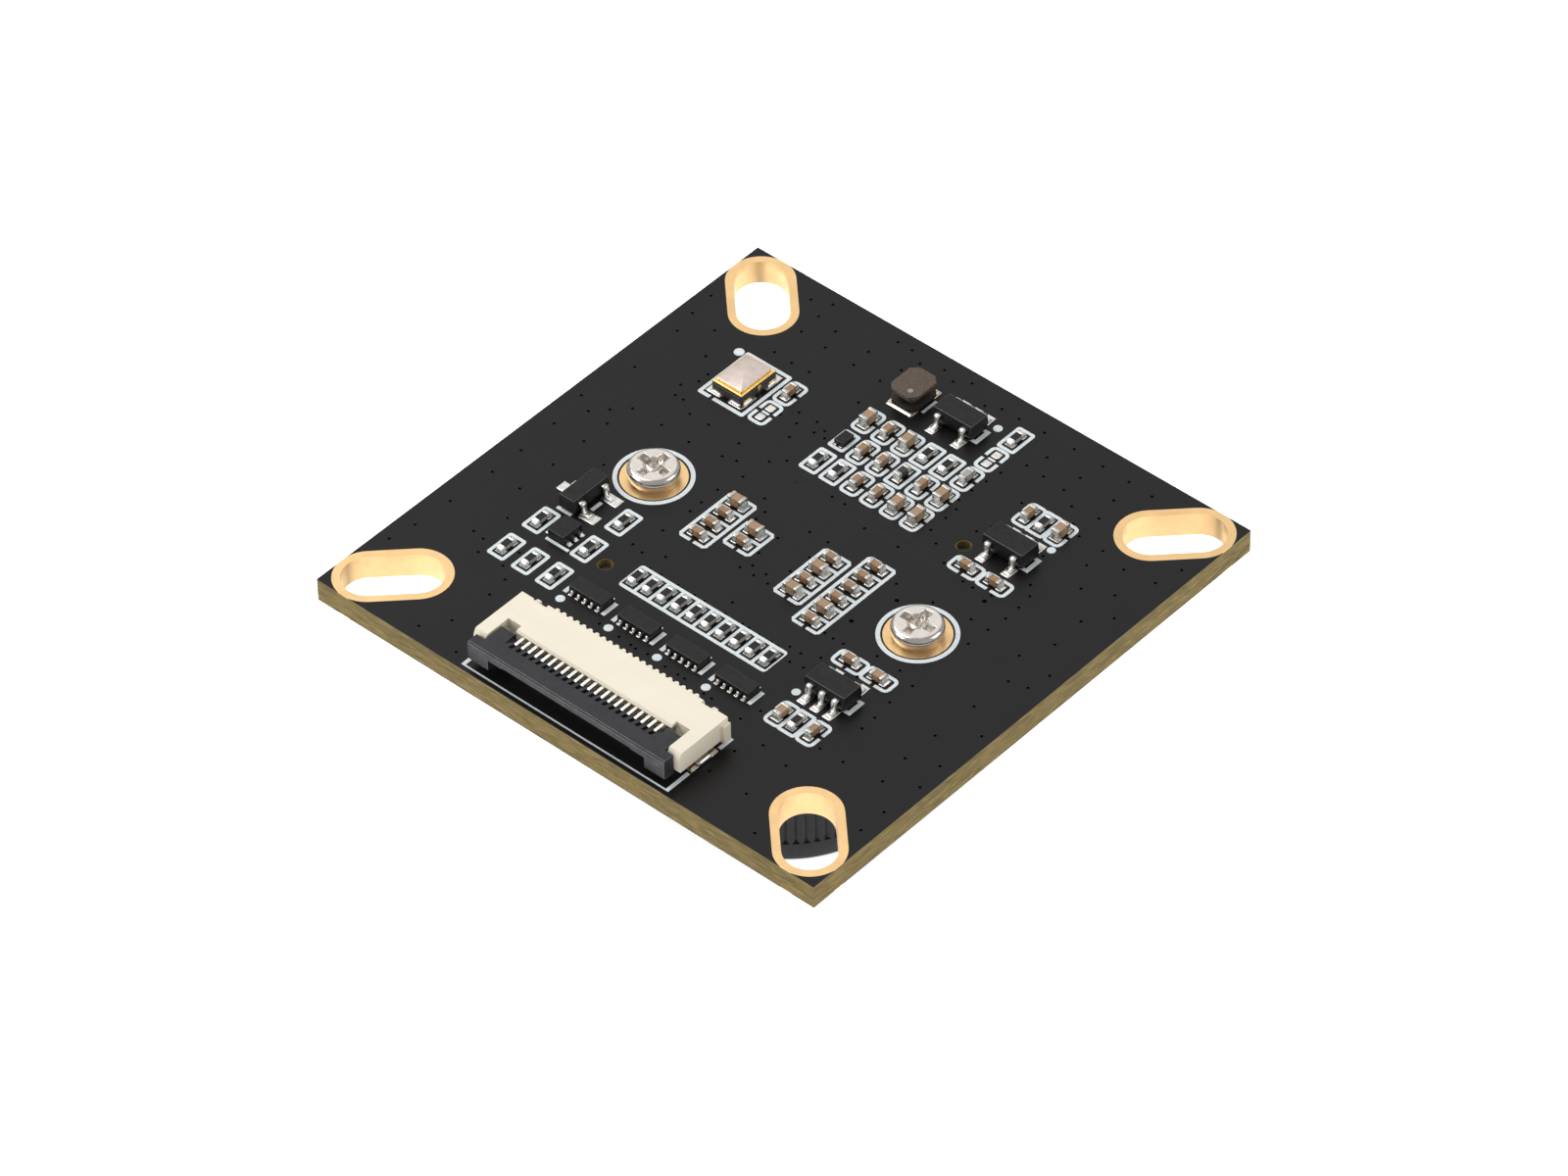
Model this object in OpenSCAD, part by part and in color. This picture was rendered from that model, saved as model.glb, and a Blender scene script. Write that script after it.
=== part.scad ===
// Board camera: a square circuit board that carries its electronics on one face
// and a screw-in lens in a plastic holder on the other.
// Millimetres. The origin is the centre of the lens's front rim, on which the
// module stands. +Z points from the lens to the component side of the board,
// +X runs along the edge with the flat cable connector, +Y away from that edge.

/* [Board] */
// Side of the square board
board_w = 37.5; // [36.5:0.5:44]
// Thickness of the board over both coats of mask
board_t = 1.6; // [1.2:0.1:2.4]
// Thickness of each coat of solder mask
mask_t = 0.04; // [0.02:0.01:0.08]
// Thickness of the printed legend
legend_t = 0.03; // [0.02:0.01:0.06]
// Thickness of a tinned land, above the mask
land_t = 0.05; // [0.03:0.01:0.08]

/* [Corner slots] */
// Width of each fixing slot, inside its plating
slot_w = 3.2; // [2.6:0.1:3.4]
// Distance between the centres of a slot's round ends
slot_run = 2.8; // [1.8:0.1:3.2]
// Distance of a slot's middle from the two board edges beside it
slot_inset = 3.05; // [2.9:0.05:3.8]
// Thickness of the plating in a slot
slot_plating = 0.06; // [0.04:0.01:0.12]
// Width of the gold land around a slot
slot_land = 0.5; // [0.3:0.05:0.8]

/* [Holder fixings] */
// Distance between the two holder screws
screw_spacing = 20; // [19:0.5:24]
// Radius of the screw holes in the board
screw_hole_r = 1.1; // [1.05:0.05:1.3]
// Radius of the gold land under a screw head
screw_land_r = 2; // [1.7:0.02:2.2]
// Radius of a screw head
screw_head_r = 1.5; // [1.4:0.05:1.7]
// Height of a screw head
screw_head_h = 1; // [0.9:0.05:1.5]
// Radius of a screw shank
screw_shank_r = 0.95; // [0.8:0.05:1.0]
// Length of a screw under its head
screw_length = 5; // [4:0.25:5.25]
// Width of the cross recess's wings
recess_w = 0.56; // [0.36:0.02:0.6]
// Distance over the cross recess's wings
recess_span = 2; // [1.6:0.1:2.3]
// Distance between the locating pegs, along X and along Y
peg_spacing = 14.4; // [14:0.1:14.8]
// Radius of a locating peg
peg_r = 0.38; // [0.35:0.01:0.5]
// Radial clearance of a peg in its hole
peg_gap = 0.04; // [0.02:0.01:0.1]

/* [Lens holder] */
// Side of the holder's square base
holder_w = 16.4; // [16:0.1:17.2]
// Wall of the holder's base
holder_wall = 1.5; // [1.4:0.1:1.8]
// Height of the holder's base
holder_base_h = 4.8; // [4.4:0.1:6]
// Thickness of the holder's web between the lens and the sensor
holder_web = 1.2; // [1:0.1:1.6]
// Outer radius of the holder's collar
collar_r = 7.2; // [6.9:0.1:7.8]
// Length of the holder's collar
collar_h = 4.7; // [4.2:0.1:6]
// Radius of the ear round each screw
ear_r = 2.2; // [1.9:0.1:2.6]
// Height of the ears
ear_h = 4.0; // [3.9:0.1:4.3]
// Radius of the light opening in the web
window_r = 3.6; // [3:0.1:3.8]

/* [Lens] */
// Radius of the barrel's screwed length
thread_r = 6; // [5.9:0.05:6.1]
// Radial clearance of the barrel in the collar
thread_gap = 0.03; // [0.02:0.01:0.06]
// Radius of the lens head
head_r = 7; // [6.8:0.1:7.6]
// Height of the lens head
head_h = 5.5; // [5:0.1:7]
// Gap between the head and the collar, where the thread shows
focus_gap = 1; // [0.7:0.1:2]
// Radius of the mouth in front of the glass
mouth_r = 5.9; // [5.6:0.1:6.2]
// Depth of the mouth, down to the retaining ring
mouth_d = 1.4; // [1.3:0.1:1.8]
// Outer radius of the retaining ring
ring_r = 5.2; // [5.1:0.05:5.4]
// Inner radius of the retaining ring
ring_bore_r = 4.1; // [3.8:0.05:4.3]
// Thickness of the retaining ring
ring_t = 1.1; // [0.9:0.1:1.3]
// Radius of the glass elements
glass_r = 4.75; // [4.6:0.05:4.9]
// Clearance of the glass elements and the ring in the barrel
glass_gap = 0.03; // [0.02:0.01:0.06]
// Edge thickness of the front lens
front_glass_t = 1.6; // [1.3:0.1:1.9]
// Height of the front lens's dome
front_dome = 1.0; // [0.6:0.1:1.2]
// Length of the front spacer
front_spacer_t = 1.9; // [1.6:0.1:2.1]
// Edge thickness of the middle lens
middle_glass_t = 1.5; // [1.2:0.1:1.7]
// Length of the rear spacer
rear_spacer_t = 0.9; // [0.7:0.1:1.1]
// Edge thickness of the rear lens
rear_glass_t = 1.4; // [1.2:0.1:1.6]
// Height of the domes of the middle and rear lenses
inner_dome = 0.4; // [0.2:0.05:0.5]
// Wall of the two spacers
spacer_wall = 0.75; // [0.6:0.05:0.9]
// Radius of the aperture stop
stop_r = 1.8; // [1.2:0.1:2.4]

/* [Filter and sensor] */
// Side of the infrared filter
filter_w = 8; // [7.8:0.1:8.6]
// Thickness of the infrared filter
filter_t = 0.3; // [0.2:0.05:0.5]
// Side of the sensor package
sensor_w = 10.5; // [9.5:0.1:12]
// Thickness of the sensor package
sensor_t = 1; // [0.8:0.1:1.2]
// Length and width of the sensor die
die_l = 7; // [5.5:0.1:7.4]
die_w = 5.6; // [4.5:0.1:6.4]
// Thickness of the sensor die
die_t = 0.3; // [0.2:0.05:0.4]
// Side of the sensor's cover glass
cover_w = 9.4; // [8.8:0.1:9.5]
// Thickness of the sensor's cover glass
cover_t = 0.4; // [0.3:0.05:0.6]

/* [Cable connector] */
// Number of contacts
contact_count = 22; // [16:1:24]
// Distance from contact to contact
contact_pitch = 0.5; // [0.46:0.01:0.52]
// Thickness of a contact
contact_t = 0.2; // [0.14:0.01:0.22]
// Clearance beside a contact in the latch and in the housing
contact_gap = 0.05; // [0.03:0.01:0.06]
// Height of the housing
housing_h = 2; // [1.9:0.05:2.3]
// Distance from the end contacts to the ends of the housing
housing_end = 2.5; // [2.3:0.05:2.8]
// Width of the housing's two arms
arm_w = 0.9; // [0.75:0.05:1.05]
// Distance from the board's edge to the front of the latch
connector_setback = 0.45; // [0.3:0.05:1.2]
// Thickness of the latch's plate
latch_t = 0.5; // [0.4:0.05:0.52]
// Radius of the latch's pivots
pivot_r = 0.25; // [0.2:0.01:0.28]
// Clearance round the latch
latch_gap = 0.08; // [0.05:0.01:0.1]

/* [Chips and passives] */
// Length, width and height of a chip resistor
resistor_size = [1.0, 0.5, 0.35];
// Length, width and height of a small chip capacitor
small_cap_size = [1.0, 0.46, 0.5];
// Length, width and height of a large chip capacitor
large_cap_size = [1.04, 0.6, 0.64];
// Length, width and height of a low chip capacitor
low_cap_size = [0.98, 0.57, 0.46];
// Distance from resistor to resistor in the row of ten
resistor_pitch = 1.11; // [1.08:0.01:1.2]
// Length of a chip part's metal end
chip_end = 0.24; // [0.15:0.01:0.3]
// Length of the body of a five-lead regulator
regulator_l = 2.9; // [2.7:0.05:3.05]
// Width of the body of a leaded chip
regulator_w = 1.6; // [1.4:0.05:1.8]
// Height of a leaded chip
regulator_h = 1.1; // [0.95:0.05:1.3]
// Distance from lead to lead
lead_pitch = 0.95; // [0.9:0.01:1]
// Width of a lead
lead_w = 0.4; // [0.3:0.02:0.5]
// Length, width and height of a line filter
filter_chip = [2.5, 1.0, 0.5];
// Distance from line filter to line filter
filter_chip_pitch = 3.68; // [3.5:0.02:3.9]
// Width, length and height of the oscillator
crystal_size = [2.4, 3.2, 0.85];
// Width, length and height of the power inductor
inductor_size = [2.05, 2.5, 1.2];

/* [Hidden] */
$fn = 48;

// Small overshoot of a cutting tool past the face that it cuts
cut = 0.2;

// Heights, from the lens's front rim upwards
ring_front_z = mouth_d;
ring_back_z = ring_front_z + ring_t;
front_glass_z = ring_back_z + front_glass_t;
front_spacer_z = front_glass_z + front_spacer_t;
middle_glass_z = front_spacer_z + middle_glass_t;
rear_spacer_z = middle_glass_z + rear_spacer_t;
rear_glass_z = rear_spacer_z + rear_glass_t;
collar_z = head_h + focus_gap;
step_z = collar_z + collar_h;
barrel_end_gap = 0.1;
barrel_end_z = step_z - barrel_end_gap;
under_z = step_z + holder_base_h;
top_z = under_z + board_t;
web_z = step_z + holder_web;

// Board
edge = board_w / 2;
slot_middle = edge - slot_inset;
peg_shelf = 0.07;
screw_ring_gap = 0.12;
screw_ring_w = 0.27;
legend_w = 0.22;

// Lens details
rim_chamfer = 0.3;
grip_groove = 0.25;
grip_grooves = 3;
lip_r = 3.3;
head_bore_r = ring_r + glass_gap;
glass_bore_r = glass_r + glass_gap;

// Connector, measured from the front of the latch and from the mask
contact_span = (contact_count - 1) * contact_pitch;
housing_x = contact_span / 2 + housing_end;
arm_x = housing_x - arm_w;
comb_x = contact_span / 2 + 0.5;
notch_x = comb_x + 0.1;
latch_x = housing_x - 0.35;
shoulder_x = arm_x - latch_gap;
lip_d = 0.78;
arm_tip_y = lip_d + latch_gap;
comb_y = 1.15;
pivot_y = 1.75;
housing_front_y = pivot_y + 0.58;
notch_y = pivot_y + 1.05;
wall_y = housing_front_y + 2.42;
block_y = wall_y + 0.15;
housing_rear_y = wall_y + 0.35;
floor_front_y = 1.3;
floor_t = 0.45;
standoff = 0.1;
side_lift = 0.6;
latch_top = housing_h - 0.1;
pivot_z = latch_top - latch_t;
shaft_r = 0.2;
leg_x = comb_x + 0.15;
leg_bottom = 0.5;
contact_beam = 0.15;
contact_top = pivot_z + shaft_r + 0.05 + contact_beam;
roof_t = housing_h - contact_top;
tail_end_y = housing_rear_y + 0.65;
tab_front_y = notch_y - 0.95;
tab_rear_y = block_y - 0.95;

// Places of the chips, from the middle of the board. The last number of a chip
// is 0 where it lies along Y and 90 where it lies along X.
bank_pitch = 1.5;
bank_rows = [11.5, 9.3, 7.1];
function bank(column, row) = [(column - 2.5) * bank_pitch, bank_rows[row], 0];
row_y = -6.93;
resistor_row = [for (i = [0:9]) [(i - 4.5) * resistor_pitch, row_y, 0]];
loose_resistors = [
    [-8.7, -4, 0], [-12.4, -6.9, 0], [-8.7, -6.9, 0], [-12.4, -9.8, 0],
    [-10.55, -9.8, 0], [-8.7, -9.8, 0], [3.75, 15.8, 0], [9.55, 11.45, 0],
    [9.6, -9.8, 0], bank(3, 0), bank(4, 0), bank(0, 2), bank(1, 2)
];
resistors = concat(resistor_row, loose_resistors);
stack_pitch = 1.12;
stack_a = [for (i = [0:3]) [-4.75, 1.32 - i * stack_pitch, 90]];
stack_b = [for (i = [0:1]) [-2.42, 0.2 - i * stack_pitch, 90]];
stack_c = [for (i = [0:3]) [2.42, 1.32 - i * stack_pitch, 90]];
stack_d = [for (i = [0:5]) [4.78, 2.44 - i * stack_pitch, 90]];
small_caps = [
    bank(1, 0), bank(1, 1), bank(2, 1), bank(4, 1), bank(2, 2), bank(3, 2),
    [-8.75, 10.35, 0], [8.45, 11.45, 0], [8.55, 5.85, 90], [10.65, 5.85, 90],
    [8.65, -4.2, 90], [10.85, -9.8, 0],
    stack_a[1], stack_a[2], stack_a[3], stack_b[1], stack_c[0], stack_c[2],
    stack_d[0], stack_d[1], stack_d[2], stack_d[3], stack_d[5]
];
large_caps = [
    bank(0, 0), bank(2, 0), bank(5, 1), bank(4, 2), bank(5, 2),
    [10.8, 11.45, 0], stack_a[0], stack_b[0], stack_c[1], stack_c[3], stack_d[4]
];
low_caps = [[10.75, -4.2, 90], [8.5, -9.8, 0]];
grey_cap = bank(5, 0);
bead = bank(3, 1);
switch_at = [-3.72, 9.35, 0];
empty_pairs = [[3.75, 13.65, 0], [-8.75, 8.2, 0]];
rear_regulator = [0.45, 14.73];
upper_regulator = [9.65, 8.43];
lower_regulator = [9.65, -6.79];
transistor = [-11.73, -4];
logic_chip = [-10.6, -6.85];
crystal = [-11.33, 9.25];
inductor = [-3.08, 14.72];
filter_row_y = -9.72;
filter_chips = [for (i = [0:3]) [(i - 1.5) * filter_chip_pitch - 0.42, filter_row_y]];

// Rows of chips under one printed frame
outline_l = 2.1;
outline_w = 1.3;

// ---------------------------------------------------------------- helpers

// Puts children on the component side, with z = 0 on the mask
module on_board() translate([0, 0, top_z]) children();

// Puts children in the connector's own frame
module at_connector() translate([0, connector_setback - edge, top_z]) children();

// Puts children at each chip's place, turned as the chip is
module at_each(places) {
    for (p = places) translate([p[0], p[1], 0]) rotate(p[2]) children();
}

// Puts a copy on each of the two sides of the Y axis
module both_sides() {
    for (side = [0, 1]) mirror([side, 0, 0]) children();
}

// Extrudes a profile drawn as (y, z) along X, about the middle
module along_x(length) {
    rotate([90, 0, 90]) linear_extrude(length, center = true) children();
}

// A profile drawn as (y, z), extruded from x0 to x1
module between_x(x0, x1) translate([(x0 + x1) / 2, 0, 0]) along_x(x1 - x0) children();

// A box given by its low and high corners
module box(low, high) translate(low) cube(high - low);

// Points of an arc
function arc(x, y, r, from, to, steps) = [
    for (i = [0:steps]) let(a = from + (to - from) * i / steps)
        [x + r * cos(a), y + r * sin(a)]
];

// Radius of the sphere that rises by sag over a disc of radius r
function dome_r(r, sag) = (r * r + sag * sag) / (2 * sag);

// A slot along the X axis
module slot_shape(width, run) {
    square([run, width], center = true);
    for (x = [-run / 2, run / 2]) translate([x, 0]) circle(d = width);
}

// Puts a slot's shape in each corner, pointing to the corner
module at_corners() {
    for (q = [0:3]) rotate(45 + 90 * q)
        translate([slot_middle * sqrt(2), 0]) children();
}

module board_square() square(board_w, center = true);

// A rectangle about the origin with corners of radius r
module round_square(width, length, r) {
    x = width / 2 - r;
    y = length / 2 - r;
    polygon(concat(arc(x, y, r, 0, 90, 3), arc(-x, y, r, 90, 180, 3),
        arc(-x, -y, r, 180, 270, 3), arc(x, -y, r, 270, 360, 3)));
}

module at_screws() both_sides() translate([screw_spacing / 2, 0]) children();

module at_pegs() {
    for (s = [-1, 1]) translate([s * peg_spacing / 2, s * peg_spacing / 2]) children();
}

// ------------------------------------------------------------------ board

module laminate() color("#a08f5c") translate([0, 0, under_z + mask_t])
    linear_extrude(board_t - 2 * mask_t) difference() {
        board_square();
        at_corners() slot_shape(slot_w + 2 * slot_plating, slot_run);
        at_screws() circle(screw_hole_r);
        at_pegs() circle(peg_r + peg_gap);
    }

// One coat of mask, open round the slots' lands, the screws and the pegs
module mask_coat(screw_opening_r) {
    linear_extrude(mask_t) difference() {
        board_square();
        at_corners() slot_shape(slot_w + 2 * slot_land, slot_run);
        at_screws() circle(screw_opening_r);
        at_pegs() circle(peg_r + peg_gap + peg_shelf);
    }
}

module component_side_mask() color("#2c2a2c")
    translate([0, 0, top_z - mask_t]) mask_coat(screw_land_r);

module lens_side_mask() color("#2c2a2c")
    translate([0, 0, under_z]) mask_coat(screw_hole_r);

// Plated walls of the slots, with a land on each face that stops at the board's edge
module slot_linings() color("#e8c48a") {
    translate([0, 0, under_z]) linear_extrude(board_t) difference() {
        at_corners() slot_shape(slot_w + 2 * slot_plating, slot_run);
        at_corners() slot_shape(slot_w, slot_run);
    }
    for (z = [under_z, top_z - mask_t]) translate([0, 0, z]) linear_extrude(mask_t)
        intersection() {
            board_square();
            difference() {
                at_corners() slot_shape(slot_w + 2 * slot_land, slot_run);
                at_corners() slot_shape(slot_w + 2 * slot_plating, slot_run);
            }
        }
}

module screw_lands() color("#e8c48a") translate([0, 0, top_z - mask_t])
    linear_extrude(mask_t) at_screws() difference() {
        circle(screw_land_r);
        circle(screw_hole_r);
    }

// ----------------------------------------------------------------- legend

// Printed frame round a resistor, closed
module closed_frame(width, length) {
    difference() {
        round_square(width, length, 0.18);
        square([width - 2 * legend_w, length - 2 * legend_w], center = true);
    }
}

// Printed frame round a capacitor: two brackets with round corners and a gap between
module open_frame(width, length) {
    corner = 0.36;
    gap = 0.26;
    x = width / 2;
    y = length / 2;
    for (side = [0, 1]) mirror([0, side]) polygon(concat(
        [[x, gap / 2]],
        arc(x - corner, y - corner, corner, 0, 90, 3),
        arc(corner - x, y - corner, corner, 90, 180, 3),
        [[-x, gap / 2], [legend_w - x, gap / 2]],
        arc(corner - x, y - corner, corner - legend_w, 180, 90, 3),
        arc(x - corner, y - corner, corner - legend_w, 90, 0, 3),
        [[x - legend_w, gap / 2]]
    ));
}

// Ladder of frames round chips that lie along X, side by side, one above the other
module ladder(stack) {
    top = stack[0][1] + outline_w / 2;
    bottom = stack[len(stack) - 1][1] - outline_w / 2;
    x = outline_l / 2;
    gap = 0.26;
    bevel = 0.2;
    translate([stack[0][0], 0]) for (side = [0, 1]) mirror([side, 0]) {
        polygon([
            [gap / 2, top], [x - bevel, top], [x, top - bevel],
            [x, bottom + bevel], [x - bevel, bottom], [gap / 2, bottom],
            [gap / 2, bottom + legend_w], [x - legend_w, bottom + legend_w],
            [x - legend_w, top - legend_w], [gap / 2, top - legend_w]
        ]);
        for (i = [1:len(stack) - 1])
            translate([gap / 2, stack[i][1] + outline_w / 2 - legend_w])
                square([x - gap / 2 - legend_w / 2, legend_w]);
    }
}

// Bracket beside the end of a leaded chip
module end_bracket(length) {
    stub = 0.36;
    translate([-legend_w / 2, -length / 2]) square([legend_w * 1.3, length]);
    for (y = [-length / 2, length / 2 - legend_w])
        translate([-stub, y]) square([stub, legend_w]);
}

module dot(r) circle(r, $fn = 24);

module legend_print() color("#dfe8ec") on_board() linear_extrude(legend_t) {
    // Frames of the resistor row, the lone resistors and the bead
    difference() {
        translate([0, row_y])
            round_square(9 * resistor_pitch + outline_w - legend_w, outline_l, 0.2);
        for (p = resistor_row) translate([p[0], p[1]])
            square([resistor_pitch - legend_w, outline_l - 2 * legend_w], center = true);
    }
    for (p = concat(loose_resistors, [bead])) translate([p[0], p[1]])
        closed_frame(outline_w, outline_l);
    translate([switch_at[0], switch_at[1]]) closed_frame(1.2, 1.72);
    // Frames of the capacitors
    for (p = concat(small_caps, large_caps, low_caps, [grey_cap], empty_pairs))
        if (p[2] == 0) translate([p[0], p[1]]) open_frame(outline_w, outline_l);
    for (x = [8.65, 10.75]) translate([x, -4.2]) rotate(90) open_frame(outline_w, outline_l + 0.1);
    for (x = [8.55, 10.65]) translate([x, 5.85]) rotate(90) open_frame(outline_w, outline_l + 0.1);
    for (stack = [stack_a, stack_b, stack_c, stack_d]) ladder(stack);
    for (p = empty_pairs) translate([p[0], p[1]]) square([0.5, 0.16], center = true);
    // Rings round the screws
    at_screws() difference() {
        circle(screw_land_r + screw_ring_gap + screw_ring_w);
        circle(screw_land_r + screw_ring_gap);
    }
    // Marks of the leaded chips
    for (c = [rear_regulator, upper_regulator, lower_regulator])
        translate([c[0] + 1.6, c[1]]) end_bracket(1.3);
    translate([rear_regulator[0] + 1.85, rear_regulator[1] + 1.17]) dot(0.28);
    translate([upper_regulator[0] + 1.6, upper_regulator[1] + 1.67]) dot(0.26);
    translate([lower_regulator[0] - 1.72, lower_regulator[1] - 1.17]) dot(0.27);
    translate([rear_regulator[0] - 2.35, rear_regulator[1]]) square([0.2, 1.25], center = true);
    translate([transistor[0] + 0.93, transistor[1]]) square([0.24, 0.85], center = true);
    translate([transistor[0] - 0.2, transistor[1] - 1.48]) square([1.1, 0.24], center = true);
    translate([logic_chip[0] + 0.25, logic_chip[1] - 0.94]) square([1.75, 0.2], center = true);
    // Marks of the line filters
    for (c = filter_chips) {
        both_sides_of(c[0]) translate([1.45, c[1] - 0.08]) square([0.28, 1.2], center = true);
        translate([c[0] - 1.25, c[1] - 1.24]) dot(0.28);
    }
    // Frame and mark of the oscillator
    translate([crystal[0] + 0.05, crystal[1]]) difference() {
        round_square(3.5, 4.45, 0.14);
        square([3.02, 3.95], center = true);
        translate([-0.72, -2.2]) square([0.26, 0.6], center = true);
    }
    translate([crystal[0] - 2.08, crystal[1] + 1.88]) dot(0.32);
    // Frame of the cable connector
    translate([0, connector_setback - edge]) {
        translate([0, -0.12]) square([2 * housing_x, 0.1], center = true);
        both_sides() {
            translate([housing_x - 0.19, -0.17]) square([0.25, 1.83]);
            translate([housing_x - 0.19, 4.2]) square([0.25, 1.05]);
        }
    }
}

// Puts a copy on each side of the line x = middle
module both_sides_of(middle) {
    for (side = [0, 1]) translate([middle, 0]) mirror([side, 0]) children();
}

// ------------------------------------------------------- lands and solder

// Centre distance, width and length of the two lands of a chip of this size
function land_reach(size) = size[0] / 2 + 0.17;
land_inner = 0.24;

module chip_lands(size) {
    width = size[1] + 0.08;
    for (s = [-1, 1]) translate([0, s * (land_reach(size) + land_inner) / 2])
        square([width, land_reach(size) - land_inner], center = true);
}

// A round-ended land for each lead of a small chip, one side of it
module lead_lands(count, pitch, from, length, width) {
    for (i = [0:count - 1]) translate([(i - (count - 1) / 2) * pitch, from + length / 2])
        square([width, length], center = true);
}

module regulator_lands(c, front_pins) {
    back_pins = 5 - front_pins;
    translate(c) {
        mirror([0, 1]) lead_lands(front_pins, front_pins == 2 ? 2 * lead_pitch : lead_pitch,
            0.65, 1.07, 0.6);
        lead_lands(back_pins, back_pins == 2 ? 2 * lead_pitch : lead_pitch, 0.65, 1.07, 0.6);
    }
}

module solder_lands() color("#d8d4c8") on_board() linear_extrude(land_t) {
    at_each(resistors) chip_lands(resistor_size);
    at_each(concat(small_caps, [grey_cap, bead])) chip_lands(small_cap_size);
    at_each(large_caps) chip_lands(large_cap_size);
    at_each(low_caps) chip_lands(low_cap_size);
    for (p = empty_pairs) translate([p[0], p[1]])
        for (y = [-0.45, 0.45]) translate([0, y]) circle(0.26, $fn = 24);
    regulator_lands(rear_regulator, 2);
    regulator_lands(upper_regulator, 2);
    regulator_lands(lower_regulator, 3);
    translate(transistor) {
        rotate(-90) lead_lands(2, 2 * lead_pitch, 0.69, 1.18, 0.75);
        rotate(90) lead_lands(1, 0, 0.69, 1.18, 0.75);
    }
    translate(logic_chip) for (a = [-90, 90]) rotate(a) lead_lands(3, 0.5, 0.45, 0.5, 0.3);
    translate([switch_at[0], switch_at[1]]) for (a = [0, 180])
        rotate(a) lead_lands(2, 0.4, 0.3, 0.3, 0.2);
    for (c = filter_chips) translate(c) for (a = [0, 180])
        rotate(a) lead_lands(5, 0.5, 0.25, 0.5, 0.26);
    translate(crystal) for (x = [-1, 1], y = [-1, 1])
        translate([x * 0.83, y * 1.12]) square([1.1, 1.4], center = true);
    translate(inductor) for (s = [-1, 1])
        translate([0, s * 1.0]) square([1.9, 0.75], center = true);
    translate([0, connector_setback - edge]) {
        lead_lands(contact_count, contact_pitch, tail_end_y - 0.7, 0.95, 0.3);
        both_sides() translate([housing_x - 0.62, tab_front_y - 0.08])
            square([0.66, tab_rear_y - tab_front_y + 0.16]);
    }
}

// Concave fillet of solder that climbs one end of a chip
module end_fillet(size) {
    reach = land_reach(size) - size[0] / 2 - 0.01;
    rise = size[2] * 0.72;
    for (a = [0, 180]) rotate(a) translate([0, size[0] / 2, land_t])
        along_x(size[1]) polygon([
            [0, 0], [reach, 0], [reach * 0.97, rise * 0.1], [reach * 0.6, rise * 0.26],
            [reach * 0.28, rise * 0.55], [reach * 0.06, rise], [0, rise]
        ]);
}

module solder_fillets() color("#cfcbc0") on_board() {
    at_each(resistors) end_fillet(resistor_size);
    at_each(concat(small_caps, [grey_cap, bead])) end_fillet(small_cap_size);
    at_each(large_caps) end_fillet(large_cap_size);
    at_each(low_caps) end_fillet(low_cap_size);
}

// --------------------------------------------------------------- passives

// Middle of a chip part, set in a little from its metal ends
module chip_core(size, inset, height) {
    translate([0, 0, land_t + inset + height / 2])
        cube([size[1] - 2 * inset, size[0] - 2 * chip_end, height], center = true);
}

module chip_end_caps(size) {
    for (s = [-1, 1]) translate([0, s * (size[0] - chip_end) / 2, land_t + size[2] / 2])
        cube([size[1], chip_end, size[2]], center = true);
}

glaze_t = 0.05;
cap_inset = 0.02;

module resistor_bodies() color("#e6e4de") on_board()
    at_each(resistors) chip_core(resistor_size, cap_inset, resistor_size[2] - glaze_t - 2 * cap_inset);

module resistor_glazes() color("#1f1e1e") on_board() at_each(resistors)
    translate([0, 0, land_t + resistor_size[2] - glaze_t - cap_inset])
        linear_extrude(glaze_t)
            square([resistor_size[1] - 0.08, resistor_size[0] - 2 * chip_end], center = true);

module resistor_end_caps() color("#dcdad2") on_board()
    at_each(resistors) chip_end_caps(resistor_size);

module small_capacitor_bodies() color("#a8775a") on_board()
    at_each(small_caps) chip_core(small_cap_size, cap_inset, small_cap_size[2] - 2 * cap_inset);

module small_capacitor_end_caps() color("#cfcbc2") on_board()
    at_each(small_caps) chip_end_caps(small_cap_size);

// The low capacitors are of the same make as the large ones
module large_capacitor_bodies() color("#b39373") on_board() {
    at_each(large_caps) chip_core(large_cap_size, cap_inset, large_cap_size[2] - 2 * cap_inset);
    at_each(low_caps) chip_core(low_cap_size, cap_inset, low_cap_size[2] - 2 * cap_inset);
}

module large_capacitor_end_caps() color("#c9c3b6") on_board() {
    at_each(large_caps) chip_end_caps(large_cap_size);
    at_each(low_caps) chip_end_caps(low_cap_size);
}

module grey_capacitor_body() color("#b9b6b0") on_board()
    at_each([grey_cap]) chip_core(small_cap_size, cap_inset, small_cap_size[2] - 2 * cap_inset);

module grey_capacitor_end_caps() color("#cfcbc2") on_board()
    at_each([grey_cap]) chip_end_caps(small_cap_size);

module ferrite_bead_body() color("#2b2827") on_board()
    at_each([bead]) chip_core(small_cap_size, cap_inset, small_cap_size[2] - 2 * cap_inset);

module ferrite_bead_end_caps() color("#cfcbc2") on_board()
    at_each([bead]) chip_end_caps(small_cap_size);

// Power inductor: a drum core with two flanges, its winding and its end plates
flange_t = 0.3;
drum_h = inductor_size[2] - 2 * flange_t - 0.1;

module flange_shape() {
    x = inductor_size[0] / 2;
    y = inductor_size[1] / 2;
    bevel = 0.42;
    polygon([
        [x, y - bevel], [x - bevel, y], [bevel - x, y], [-x, y - bevel],
        [-x, bevel - y], [bevel - x, -y], [x - bevel, -y], [x, bevel - y]
    ]);
}

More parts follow.
